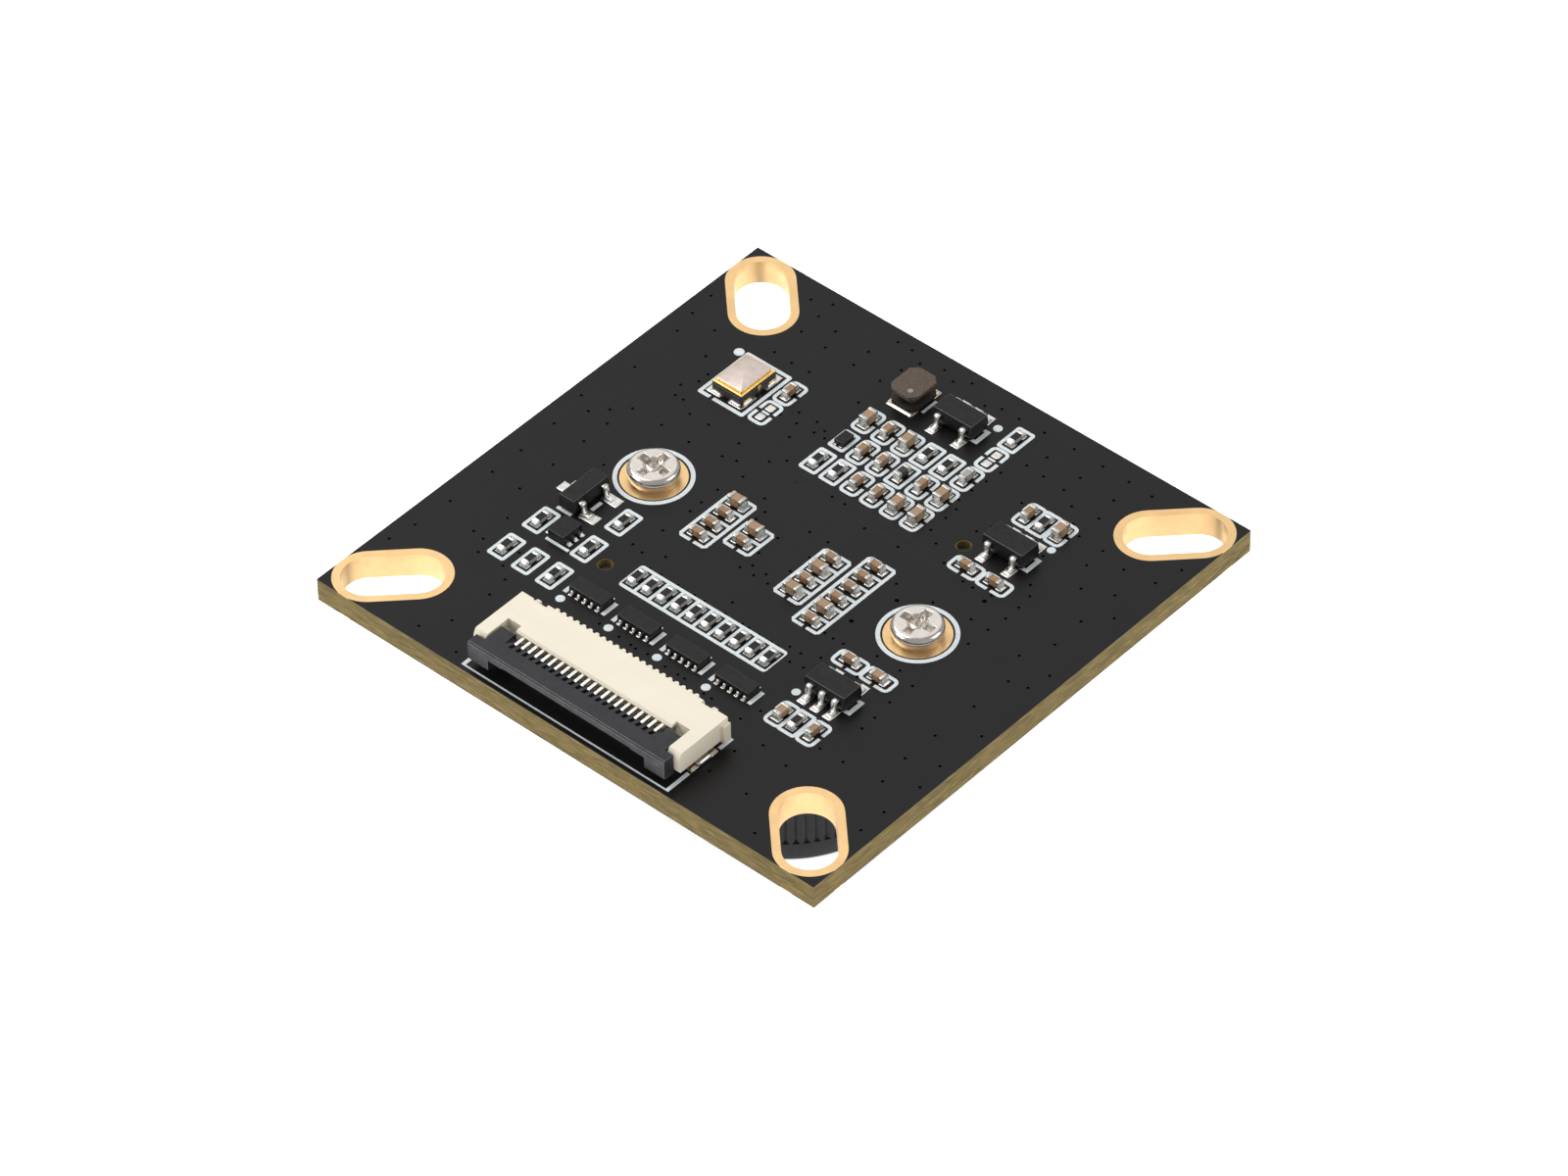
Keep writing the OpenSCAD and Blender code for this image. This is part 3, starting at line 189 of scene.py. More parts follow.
def soften(node, width, finish, segments=2, body="module", edge=None):
    """Replaces a CAD node by a copy with its points merged, its flat faces joined and its edges
    rounded by a bevel, which may take a lighter finish of its own, a painted highlight."""
    work = bmesh.new()
    work.from_mesh(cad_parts[node].data)
    bmesh.ops.remove_doubles(work, verts=work.verts, dist=SAME)
    bmesh.ops.dissolve_limit(
        work, angle_limit=np.radians(1), verts=work.verts, edges=work.edges, delimit={"NORMAL"}
    )
    mesh = bpy.data.meshes.new(node + "_soft")
    work.to_mesh(mesh)
    work.free()
    piece = add_mesh(node + "_soft", mesh, 40, body)
    bevel = piece.modifiers.new("rounded edges", "BEVEL")
    bevel.width = width
    bevel.segments = segments
    bevel.limit_method = "ANGLE"
    bevel.angle_limit = np.radians(30)
    bevel.harden_normals = True
    bevel.use_clamp_overlap = True
    wear(piece, finish)
    if edge:
        piece.data.materials.append(finish_of(edge).material)
        bevel.material = 1
    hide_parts(node)


# ----------------------------------------------------------------- finishes


class Finish:
    """A material built up from layers on one Principled shader, patterned in object coordinates.

    Sizes and depths are in millimetres, and colours are linear."""

    def __init__(self, name, colour, roughness, metallic, specular):
        self.material = bpy.data.materials.new(name)
        self.material.use_nodes = True
        self.tree = self.material.node_tree
        self.shader = self.tree.nodes["Principled BSDF"]
        self.base = tuple(colour)[:3]
        self.set("Base Color", self.base + (1.0,))
        self.set("Roughness", roughness)
        self.set("Metallic", metallic)
        self.set("Specular IOR Level", specular)

    def set(self, socket, value):
        self.shader.inputs[socket].default_value = value

    def node(self, kind, **values):
        """Adds a node and sets its properties or, where the name is a socket's, its values."""
        node = self.tree.nodes.new(kind)
        for name, value in values.items():
            if hasattr(node, name):
                setattr(node, name, value)
            else:
                node.inputs[name.replace("_", " ")].default_value = value
        return node

    def link(self, source, target):
        self.tree.links.new(source, target)

    def place(self, stretch=(1, 1, 1)):
        """Object coordinates, stretched for a pattern."""
        coordinates = self.node("ShaderNodeTexCoord")
        mapping = self.node("ShaderNodeMapping", Scale=stretch)
        self.link(coordinates.outputs["Object"], mapping.inputs["Vector"])
        return mapping.outputs["Vector"]

    def noise(self, size, detail, stretch=(1, 1, 1), distortion=0.0):
        """Cloudy noise whose features are about size across."""
        scale = 1.0 / (size * MM)
        noise = self.node("ShaderNodeTexNoise", Scale=scale, Detail=detail, Distortion=distortion)
        self.link(self.place(stretch), noise.inputs["Vector"])
        return noise.outputs["Fac"]

    def ramp(self, factor, *stops):
        """Colour ramp over stops of (position, colour)."""
        ramp = self.node("ShaderNodeValToRGB")
        elements = ramp.color_ramp.elements
        while len(elements) < len(stops):
            elements.new(0.5)
        for element, (position, colour) in zip(elements, stops):
            element.position = position
            element.color = (*colour, 1.0)
        self.link(factor, ramp.inputs["Fac"])
        return ramp.outputs["Color"]

    def mottle(self, size, spread, detail=4.0, stretch=(1, 1, 1)):
        """Colour that wanders to both sides of the base by a share of it."""
        dark = [c * (1 - spread) for c in self.base]
        light = [min(1.0, c * (1 + spread)) for c in self.base]
        clouds = self.ramp(self.noise(size, detail, stretch), (0.3, dark), (0.7, light))
        self.link(clouds, self.shader.inputs["Base Color"])

    def fibres(self, size, pale):
        """Layers that run along the board, from dark through the base to pale fibres."""
        dark, light = ([c * share for c in self.base] for share in (0.45, 1.3))
        layers = self.noise(size, 7.0, (0.4, 0.4, 4.6), 0.7)
        colour = self.ramp(layers, (0.28, dark), (0.5, self.base), (0.62, light), (0.78, pale))
        self.link(colour, self.shader.inputs["Base Color"])

    def climb(self, node, start, end, below, size, detail, dark, light):
        """Colour that turns, between two depths under a CAD node's top, from below to clouds."""
        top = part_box(node)[1].z
        height = self.node("ShaderNodeSeparateXYZ")
        self.link(self.place(), height.inputs["Vector"])
        low, high = top - start * MM, top - end * MM
        share = self.node("ShaderNodeMapRange", From_Min=low, From_Max=high)
        self.link(height.outputs["Z"], share.inputs["Value"])
        clouds = self.ramp(self.noise(size, detail), (0.3, dark), (0.7, light))
        blend = self.node("ShaderNodeMix", data_type="RGBA")
        blend.inputs["A"].default_value = (*below, 1)
        self.link(share.outputs["Result"], blend.inputs["Factor"])
        self.link(clouds, blend.inputs["B"])
        self.link(blend.outputs["Result"], self.shader.inputs["Base Color"])

    def polish(self, size, low, high, detail=4.0):
        """Roughness that wanders between two values."""
        spread = self.node(
            "ShaderNodeMapRange", From_Min=0.35, From_Max=0.65, To_Min=low, To_Max=high
        )
        self.link(self.noise(size, detail), spread.inputs["Value"])
        self.link(spread.outputs["Result"], self.shader.inputs["Roughness"])

    def grain(self, size, depth, detail=3.0, stretch=(1, 1, 1)):
        """Fine relief, laid over any that is there."""
        bump = self.node("ShaderNodeBump", Strength=1.0, Distance=depth * MM)
        self.link(self.noise(size, detail, stretch), bump.inputs["Height"])
        previous = self.shader.inputs["Normal"]
        if previous.is_linked:
            self.link(previous.links[0].from_socket, bump.inputs["Normal"])
        self.link(bump.outputs["Normal"], previous)

    def clear(self, coating):
        """Lets light through, and tints the reflection by a coating."""
        self.set("IOR", 1.6)
        self.set("Transmission Weight", 0.85)
        self.set("Specular Tint", (*setting(coating), 1.0))


def ceramic(name, colour, spread=0.1):
    """Row of a fired ceramic body: dense, faintly mottled, satin."""
    layers = (("mottle", 0.14, spread, 5.0), ("polish", 0.2, 0.34, 0.5), ("grain", 0.05, 0.004))
    return (name, colour, 0.42, 0.0, 0.45, *layers)


def glass(name, colour, coating):
    """Row of a clear glass with a coated surface."""
    return (name, colour, 0.02, 0.0, 0.5, ("clear", coating))


# For each finish: its material's name, its colour or the setting in the side panel that holds it,
# its roughness, its metallic share, its specular level, and its layers from the first to the last
FINISHES = {
    "mask": (
        "black solder mask", "camera_board.mask_colour", 0.36, 0.0, 0.2,
        ("polish", 2.5, 0.33, 0.4, 5.0), ("grain", 0.35, 0.0012), ("grain", 4.0, 0.004, 2.0),
    ),
    # Near-black discs over the vias: painted shade of their holes
    "pit": ("sunk mask", (0.0015, 0.0015, 0.0015), 0.7, 0.0, 0.0, ("mottle", 0.1, 0.2)),
    "laminate": (
        "glass-fibre laminate", "camera_board.edge_colour", 0.62, 0.0, 0.2,
        ("fibres", 0.45, (0.44, 0.35, 0.17)), ("grain", 0.07, 0.025, 4.0, (0.5, 0.5, 2.4)),
    ),
    "legend": (
        "legend ink", "camera_board.legend_colour", 0.6, 0.0, 0.5,
        ("mottle", 0.22, 0.07, 5.0), ("grain", 0.05, 0.003),
    ),
    "gold": (
        "immersion gold", "camera_board.gold_colour", 0.34, 1.0, 0.5,
        ("mottle", 1.6, 0.06, 5.0), ("polish", 0.6, 0.3, 0.44),
        ("grain", 0.06, 0.004, 3.0, (1, 1, 0.12)),
    ),
    "solder": (
        "reflowed solder", (0.74, 0.72, 0.68), 0.2, 1.0, 0.5,
        ("mottle", 0.16, 0.16), ("polish", 0.2, 0.14, 0.3), ("grain", 0.11, 0.016),
    ),
    "dull_solder": (
        "dull solder", (0.86, 0.85, 0.82), 0.3, 1.0, 0.5,
        ("mottle", 0.12, 0.3), ("polish", 0.15, 0.26, 0.44), ("grain", 0.1, 0.012),
    ),
    "tin": (
        "wrinkled tin", (0.60, 0.57, 0.52), 0.24, 1.0, 0.5,
        ("mottle", 0.1, 0.25), ("polish", 0.12, 0.18, 0.36), ("grain", 0.1, 0.022),
        ("grain", 0.035, 0.004),
    ),
    "lead": (
        "bright tin", (0.84, 0.82, 0.78), 0.26, 1.0, 0.5,
        ("mottle", 0.2, 0.08), ("polish", 0.15, 0.2, 0.34), ("grain", 0.1, 0.008),
    ),
    "resistor_end": (
        "plated end", (0.90, 0.88, 0.85), 0.3, 1.0, 0.5,
        ("mottle", 0.2, 0.08), ("polish", 0.15, 0.24, 0.4), ("grain", 0.12, 0.006),
    ),
    "alumina": ceramic("alumina", (0.36, 0.35, 0.335), 0.05),
    "small_capacitor": ceramic("brown ceramic", "camera_chips.small_capacitor_colour"),
    "large_capacitor": ceramic("tan ceramic", "camera_chips.large_capacitor_colour"),
    "grey_ceramic": ceramic("grey ceramic", (0.42, 0.40, 0.37)),
    "ferrite": ceramic("black ferrite", (0.03, 0.027, 0.025), 0.2),
    "dark_ceramic": ceramic("dark ceramic", (0.06, 0.05, 0.042)),
    "glaze": ("black glaze", (0.014, 0.013, 0.013), 0.4, 0.0, 0.25, ("grain", 0.1, 0.004)),
    "drum": (
        "brown ferrite", (0.115, 0.084, 0.063), 0.6, 0.0, 0.3,
        ("climb", "inductor_core", 0.5, 0.36, (0.032, 0.025, 0.02), 0.1, 6.0,
         (0.088, 0.064, 0.048), (0.15, 0.11, 0.084)),
        ("polish", 0.2, 0.5, 0.7), ("grain", 0.07, 0.02, 4.0),
    ),
    "copper": (
        "silvered copper", (0.80, 0.55, 0.34), 0.28, 1.0, 0.5,
        ("mottle", 0.3, 0.2), ("polish", 0.2, 0.22, 0.42),
    ),
    "wire": ("varnished wire", (0.055, 0.036, 0.027), 0.4, 0.0, 0.5, ("mottle", 0.2, 0.35)),
    "dot": ("grey dot", (0.32, 0.30, 0.28), 0.6, 0.0, 0.5, ("grain", 0.05, 0.004)),
    "moulded": (
        "moulding compound", "camera_chips.compound_colour", 0.5, 0.0, 0.3,
        ("mottle", 0.1, 0.2, 5.0), ("polish", 0.3, 0.44, 0.58), ("grain", 0.045, 0.005),
    ),
    # Lighter, glossier compound on the moulded chips' bevels: a painted highlight along their edges
    "moulded_painted_highlight": (
        "rubbed compound", (0.03, 0.03, 0.031), 0.28, 0.0, 0.7, ("mottle", 0.2, 0.3)
    ),
    "crystal_base": (
        "black alumina", (0.045, 0.038, 0.037), 0.5, 0.0, 0.5,
        ("mottle", 0.15, 0.15), ("grain", 0.05, 0.006),
    ),
    "crystal_gold": (
        "polished gold", (0.95, 0.68, 0.27), 0.24, 1.0, 0.5,
        ("polish", 0.2, 0.18, 0.34), ("grain", 0.12, 0.006),
    ),
    "crystal_lid": (
        "plated lid", (0.70, 0.60, 0.54), 0.34, 1.0, 0.5,
        ("climb", "crystal_lid", 0.045, 0.012, (0.93, 0.70, 0.34), 0.4, 5.0,
         (0.66, 0.56, 0.50), (0.75, 0.64, 0.58)),
        ("polish", 0.3, 0.28, 0.42), ("grain", 0.05, 0.003),
    ),
    "housing": (
        "cream polymer", "camera_connector.housing_colour", 0.42, 0.0, 0.4,
        ("mottle", 1.4, 0.03, 3.0, (0.3, 1, 1)), ("polish", 0.8, 0.36, 0.5),
        ("grain", 0.06, 0.003),
    ),
    "latch": (
        "dark polymer", "camera_connector.latch_colour", 0.42, 0.0, 0.4,
        ("mottle", 0.9, 0.2, 5.0, (0.35, 1, 1)), ("polish", 0.4, 0.34, 0.52),
        ("grain", 0.07, 0.008),
    ),
    # Much lighter polymer on the latch's bevels: a painted highlight along its edges
    "latch_painted_highlight": (
        "rubbed polymer", (0.14, 0.14, 0.15), 0.36, 0.0, 0.6,
        ("mottle", 0.12, 0.45, 6.0), ("grain", 0.07, 0.006),
    ),
    "contact": (
        "tinned contact", (0.92, 0.89, 0.83), 0.3, 1.0, 0.5,
        ("mottle", 0.3, 0.06), ("polish", 0.2, 0.22, 0.4),
    ),
    "tab": (
        "bronze tab", (0.46, 0.36, 0.24), 0.32, 1.0, 0.5,
        ("mottle", 0.4, 0.15), ("polish", 0.3, 0.26, 0.44),
    ),
    "screw": (
        "nickel plating", "camera_screws.plating_colour", 0.2, 1.0, 0.5,
        ("mottle", 0.5, 0.06), ("polish", 0.25, 0.14, 0.26), ("grain", 0.1, 0.0015),
    ),
    "barrel": (
        "black anodising", (0.022, 0.022, 0.024), 0.36, 0.55, 0.5,
        ("polish", 0.4, 0.3, 0.44), ("grain", 0.06, 0.003),
    ),
    "holder": (
        "textured black polymer", (0.02, 0.02, 0.021), 0.52, 0.0, 0.4,
        ("polish", 0.25, 0.45, 0.6), ("grain", 0.09, 0.012, 4.0),
    ),
    "silicon": ("silicon", (0.10, 0.11, 0.19), 0.12, 0.6, 0.5, ("mottle", 1.5, 0.3)),
    "coated_glass": glass("coated glass", (0.92, 0.95, 1.0), "camera_lens.coating_colour"),
    "filter_glass": glass("infrared filter", (0.62, 0.86, 0.88), (0.9, 0.4, 0.4)),
    "cover_glass": glass("cover glass", (0.95, 0.98, 1.0), (0.9, 0.95, 1.0)),
    "floor": ("pale floor", "camera_stage.floor_colour", 0.9, 0.0, 0.1),
}

_made = {}


def setting(value):
    """A colour, or the side panel's where value names one there."""
    if isinstance(value, str):
        group, name = value.split(".")
        value = getattr(getattr(bpy.context.scene, group), name)
    return tuple(value)


def finish_of(name):
    """The finish of this name, made when it is first asked for."""
    if name not in _made:
        title, colour, roughness, metallic, specular, *layers = FINISHES[name]
        _made[name] = Finish(title, setting(colour), roughness, metallic, specular)
        for layer, *values in layers:
            getattr(_made[name], layer)(*values)
    return _made[name]


def wear(piece, finish):
    """Gives a piece its finish."""
    piece.data.materials.clear()
    piece.data.materials.append(finish_of(finish).material)
    return piece


def node_finish(finish, *nodes):
    """Gives CAD nodes a finish."""
    for name in nodes:
        wear(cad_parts[name], finish)


# -------------------------------------------------------------- side panel


def colour(name, description, default):
    return FloatVectorProperty(
        name=name, description=description, subtype="COLOR", default=default
    )


def length(name, description, default, least):
    """Setting of a length. Its default and its least value are given in millimetres."""
    return FloatProperty(
        name=name, description=description, subtype="DISTANCE", unit="LENGTH",
        default=default * MM, min=least * MM,
    )


def glow(name, description, default):
    return FloatProperty(name=name, description=description, default=default, min=0.0)


class BoardLook(bpy.types.PropertyGroup):
    mask_colour: colour("Solder mask", "Colour of the solder mask", (0.0105, 0.009, 0.0095))
    edge_colour: colour("Laminate", "Colour of the sawn edges", (0.2, 0.145, 0.045))
    legend_colour: colour("Legend", "Colour of the printed legend", (0.82, 0.88, 0.90))
    gold_colour: colour("Gold", "Colour of the plated slots and lands", (0.87, 0.59, 0.29))
    track_height: length("Track height", "How far tracks stand up under the mask", 0.008, 0.0)
    track_gap: length("Track gap", "Width of the line along each side of a track", 0.13, 0.01)
    via_radius: length("Via radius", "Radius of the dimple over each via", 0.1, 0.01)


class ChipLook(bpy.types.PropertyGroup):
    compound_colour: colour("Moulding compound", "Colour of the chips", (0.0095, 0.009, 0.0095))
    small_capacitor_colour: colour(
        "Small capacitors", "Colour of their ceramic", (0.360, 0.212, 0.112)
    )
    large_capacitor_colour: colour(
        "Large capacitors", "Colour of their ceramic", (0.42, 0.27, 0.155)
    )
    edge_round: length("Edge rounding", "Radius of the edges of the chip parts", 0.035, 0.005)


class ConnectorLook(bpy.types.PropertyGroup):
    housing_colour: colour("Housing", "Colour of the housing", (0.985, 0.9, 0.735))
    latch_colour: colour("Latch", "Colour of the flip latch", (0.019, 0.019, 0.0245))
    edge_round: length("Edge rounding", "Radius of the moulded edges", 0.03, 0.0)


class ScrewLook(bpy.types.PropertyGroup):
    plating_colour: colour("Plating", "Colour of the screws", (0.72, 0.67, 0.62))
    recess_depth: length("Recess depth", "Depth of the cross recess", 0.62, 0.1)
    recess_span: length("Recess span", "Distance over the wings of the cross", 2.3, 0.5)
    recess_width: length("Recess width", "Width of a wing of the cross", 0.62, 0.2)


class LensLook(bpy.types.PropertyGroup):
    coating_colour: colour("Coating", "Colour of the lens coating", (0.55, 0.42, 0.85))
    thread_pitch: length("Thread pitch", "Pitch of the barrel's thread", 0.5, 0.2)


class StageLook(bpy.types.PropertyGroup):
    floor_colour: colour("Floor", "Colour of the floor", (0.93, 0.93, 0.93))
    floor_glow: glow("Floor glow", "Light that the floor gives", 0.75)
    room_glow: glow("Room glow", "Light that comes from all round", 0.42)
    key_glow: glow("Key light", "Brightness of the small main light", 3.9)
    back_glow: glow("Back light", "Brightness of the box behind", 0.64)
    side_glow: glow("Side lights", "Brightness of the two side boxes", 1.85)


# ------------------------------------------------------------------- board

# Middle lines of the copper tracks that show under the mask, in millimetres, with their widths
TRACKS = (
    (0.86, [(-4.6, 13.28), (-12.2, 13.28), (-15.64, 9.84), (-15.64, 2.62)]),
    (0.3, [(-13.72, 5.97), (-14.0, 5.62), (-14.0, -8.0)]),
    (0.3, [(-13.13, 5.97), (-13.5, 5.5), (-13.5, -2.9), (-13.2, -3.4)]),
    (0.8, [(-3.6, 5.33), (7.2, 5.33)]),
    (0.24, [(-5.55, 9.2), (-4.8, 9.95)]),
)

# Places of the vias, in millimetres
VIAS = (
    (-12.03, 17.81), (-6.98, 17.8), (-5.89, 17.8), (-3.33, 17.73), (-1.36, 17.89), (-2.31, 17.28),
    (-4.77, 17.22), (-13.3, 17.3), (-11.98, 16.48), (-10.36, 16.14), (-7.73, 16.05), (-5.23, 16.09),
    (-11.86, 14.83), (-9.88, 14.7), (-7.64, 14.64), (-5.56, 14.59), (-17.97, 13.75),
    (-11.86, 12.47), (-10.47, 12.42), (-9.19, 12.5), (-5.28, 12.38), (-17.78, 11.91),
    (-15.78, 11.63), (-17.41, 10.19), (-14.66, 9.61), (-13.5, 8.52), (-13.5, 7.73), (-7.31, 9.5),
    (-5.98, 9.56), (-5.13, 9.27), (-5.52, 8.78), (-4.73, 8.8), (-6.81, 8.7), (-8.02, 8.67),
    (-6.34, 7.56), (-14.11, 6.83), (-17.17, 6.23), (-13.75, 5.97), (-13.13, 5.97), (-12.03, 5.31),
    (-10.59, 5.33), (-8.2, 5.27), (-5.84, 5.25), (-5.13, 5.97), (-3.52, 4.94), (-1.14, 5.38),
    (-0.2, 5.38), (-7.31, 4.09), (-8.19, 3.84), (-10.45, 3.48), (-12.63, 3.55), (-14.84, 3.5),
    (-6.13, 3.31), (-3.98, 2.75), (-15.78, 2.58), (-17.86, 2.41), (-0.17, 2.34), (-16.63, 1.67),
    (-15.08, 1.59), (-6.5, 1.56), (-3.2, 1.92), (-3.2, 1.17), (-1.2, 0.78), (-6.5, 0.17),
    (1.38, 17.34), (2.67, 17.34), (4.55, 17.39), (6.75, 17.44), (8.95, 17.38), (10.92, 17.34),
    (12.69, 17.27), (0.45, 16.91), (6.02, 15.89), (8.58, 15.81), (11.25, 15.59), (5.58, 14.61),
    (6.91, 14.52), (8.53, 14.41), (11.58, 13.89), (9.75, 13.66), (4.84, 13.17), (4.69, 12.08),
    (7.41, 12.02), (10.75, 12.61), (11.69, 12.03), (13.48, 11.97), (15.38, 11.56), (17.44, 11.88),
    (17.88, 13.66), (13.55, 10.47), (16.36, 9.61), (4.55, 10.97), (4.52, 9.89), (4.92, 9.19),
    (4.94, 8.25), (4.94, 6.95), (5.91, 6.28), (7.42, 9.44), (7, 8.55), (11.19, 9.45), (14.55, 8.8),
    (17.53, 8.16), (12.19, 7.16), (16.27, 6.75), (12.77, 6.44), (12.89, 5.33), (7.31, 5.36),
    (9.11, 4.91), (9.86, 4.88), (11.09, 5.08), (12.91, 4.17), (16.38, 4.36), (2, 4.59),
    (4.45, 4.67), (11.48, 2.86), (12.75, 2.84), (15.44, 2.38), (17.78, 2.25), (8.95, 2.5),
    (1.19, 2.38), (6.39, 2.31), (12.66, 1.25), (1.22, 0.75), (17.5, 0.73), (16.33, 0.41),
    (-17.41, -0.39), (-15.08, -0.39), (-12.86, -1.13), (-6.48, -0.81), (-1.2, -0.86),
    (-1.23, -2.41), (-0.2, -2.41), (-0.78, -1.84), (-15.09, -3), (-17.31, -3.31), (-6.59, -3),
    (-7.11, -4.97), (-6.25, -5.13), (-5, -4.53), (-17.31, -5.73), (-15.16, -5.73), (-5.03, -5.83),
    (-4.2, -5.8), (-2.89, -5.8), (-1.64, -5.8), (-0.89, -5.8), (-14, -8.03), (-17.47, -9.09),
    (-14.73, -10.05), (-13.88, -10.16), (-13.33, -11.16), (-11.52, -9.69), (-11.5, -11.08),
    (-17.63, -11.84), (-10.63, -11.84), (-17.95, -13.64), (-10.45, -13.31), (-10.63, -16.23),
    (-11.73, -17.77), (-8.7, -17.94), (-4.14, -11.03), (-2.59, -11.09), (-1.64, -11.14),
    (-1.23, -11.2), (-0.42, -11.09), (1.17, -0.83), (0.28, -1.89), (0.86, -2.41), (6.63, -3.36),
    (7.34, -3.31), (5.98, -3.33), (9.45, -2.83), (11.17, -2.88), (12.52, -3.36), (16.19, -2.36),
    (18.05, -3.88), (0.39, -4.86), (5.23, -5.44), (6.05, -5.45), (6.03, -6.36), (6.92, -6.22),
    (7.14, -4.98), (9.69, -4.84), (12.41, -5.17), (16.06, -5.52), (0.69, -5.81), (1.98, -5.81),
    (2.47, -5.8), (3.27, -5.84), (4.16, -5.83), (4.63, -5.83), (12.58, -6.63), (17.83, -7.17),
    (15.97, -7.95), (12.61, -7.73), (18.08, -9.13), (16.22, -10.13), (13.55, -10.41),
    (11.89, -10.45), (7.41, -10.36), (5.28, -10.23), (17.86, -11.89), (11.36, -12.69),
    (9.34, -12.3), (6.98, -11.55), (4.69, -11.4), (4.09, -11.4), (2.47, -11.19), (1.98, -11.2),
    (1, -11.19), (8.44, -13.69), (17.81, -13.78), (8.44, -15.75), (11.17, -15.75), (13.55, -17.73),
)

# Places of the larger vias
LARGE_VIAS = ((11.09, 4.47), (7.31, 1.3), (6.47, -1.63))


def side_ways(along):
    """Level vectors at right angles to the rows of along, seen in plan."""
    return np.stack([along[:, 1], -along[:, 0], 0 * along[:, 0]], axis=1)


def track_outline(points, width):
    """Closed line round a track: one side out, half a circle round its end, the other side back,
    half a circle.

    At each corner the two sides lie on the mitre: the offset across is half the width over the
    cosine of half the turn."""
    points = np.asarray(points, float) * MM
    along = unit(np.diff(points, axis=0))
    before, after = np.vstack([along[:1], along]), np.vstack([along, along[-1:]])
    mitre = unit(before + after)
    across = -side_ways(mitre)[:, :2] / np.sum(mitre * after, axis=1)[:, None]
    half = width * MM / 2
    turn = np.linspace(0, np.pi, 9)[1:-1, None]

    def end(point, side, ahead):
        return point + half * (side * np.cos(turn) + ahead * np.sin(turn))

    far, near = end(points[-1], across[-1], along[-1]), end(points[0], -across[0], -along[0])
    return np.vstack([points + half * across, far, (points - half * across)[::-1], near])


def ridges(line, width, height):
    """Low ridge carried along a closed line, as outlines: two feet on the mask and a flat top
    between them."""
    before, after = line - np.roll(line, 1, axis=0), np.roll(line, -1, axis=0) - line
    across = -side_ways(unit(unit(before) + unit(after)))[:, :2]
    offset = np.array([-0.5, -0.2, 0.2, 0.5]) * width
    plan = line[:, None, :] + across[:, None, :] * offset[:, None]
    level = TOP + np.array([0, 1, 1, 0]) * height + 0 * plan[:, :, 0]
    return np.concatenate([plan, level[:, :, None]], axis=2)


class CAMERA_OT_board(bpy.types.Operator):
    """Finish the laminate, mask, legend and gold, and add tracks and vias"""

    bl_idname = "camera_module.board"
    bl_label = "Board"

    def execute(self, context):
        look = context.scene.camera_board
        node_finish("laminate", "laminate")
        node_finish("mask", "component_side_mask", "lens_side_mask")
        node_finish("legend", "legend_print")
        node_finish("gold", "slot_linings", "screw_lands")
        self.tracks(look)
        self.vias(look)
        return {"FINISHED"}

    def tracks(self, look):
        """Ridges round the tracks, each closed on itself with four points at every place."""
        points, faces, start = [], [], 0
        for width, line in TRACKS:
            ridge = ridges(track_outline(line, width), look.track_gap, look.track_height)
            index = start + np.arange(len(ridge) * 4).reshape(-1, 4)
            ahead = np.roll(index, -1, axis=0)
            quads = [index, ahead, np.roll(ahead, -1, axis=1), np.roll(index, -1, axis=1)]
            faces += np.stack(quads, axis=-1)[:, :, ::-1].reshape(-1, 4).tolist()
            points.append(ridge.reshape(-1, 3))
            start += index.size
        piece = add_piece("copper_tracks", np.concatenate(points), faces, 60)
        wear(piece, "mask")

    def vias(self, look):
        """Low collars, one round each via, and within each a dark disc, painted shade of its hole.

        A collar rises to its full height over the outer half of its width and falls inwards; a disc
        is flat, a hair above the mask, with a radius that is the via's."""
        r, h, steps = look.via_radius, 0.006 * MM, 14
        large = 1.5
        places = [(x * MM, y * MM, TOP, 1.0) for x, y in VIAS]
        places += [(x * MM, y * MM, TOP, large) for x, y in LARGE_VIAS]
        places = np.array(places)[:, None, None]
        size = np.concatenate([places[..., 3:], places[..., 3:], places[..., 3:] ** 0], axis=-1)
        collar = [(1.9 * r, 0), (1.45 * r, h), (1.1 * r, h), (0.95 * r, 0.3 * h)]
        collar.append((0.2 * r, 0.2 * h))
        pit = [(r, 0.2 * h), (0.96 * r, 0.5 * h)]
        for name, profile, finish in (("via_collars", collar, "mask"), ("via_pits", pit, "pit")):
            rings = revolve(profile, steps) * size + places[..., :3]
            dress(name, rings, finish, sharp=50)


# ------------------------------------------------------------------ solder


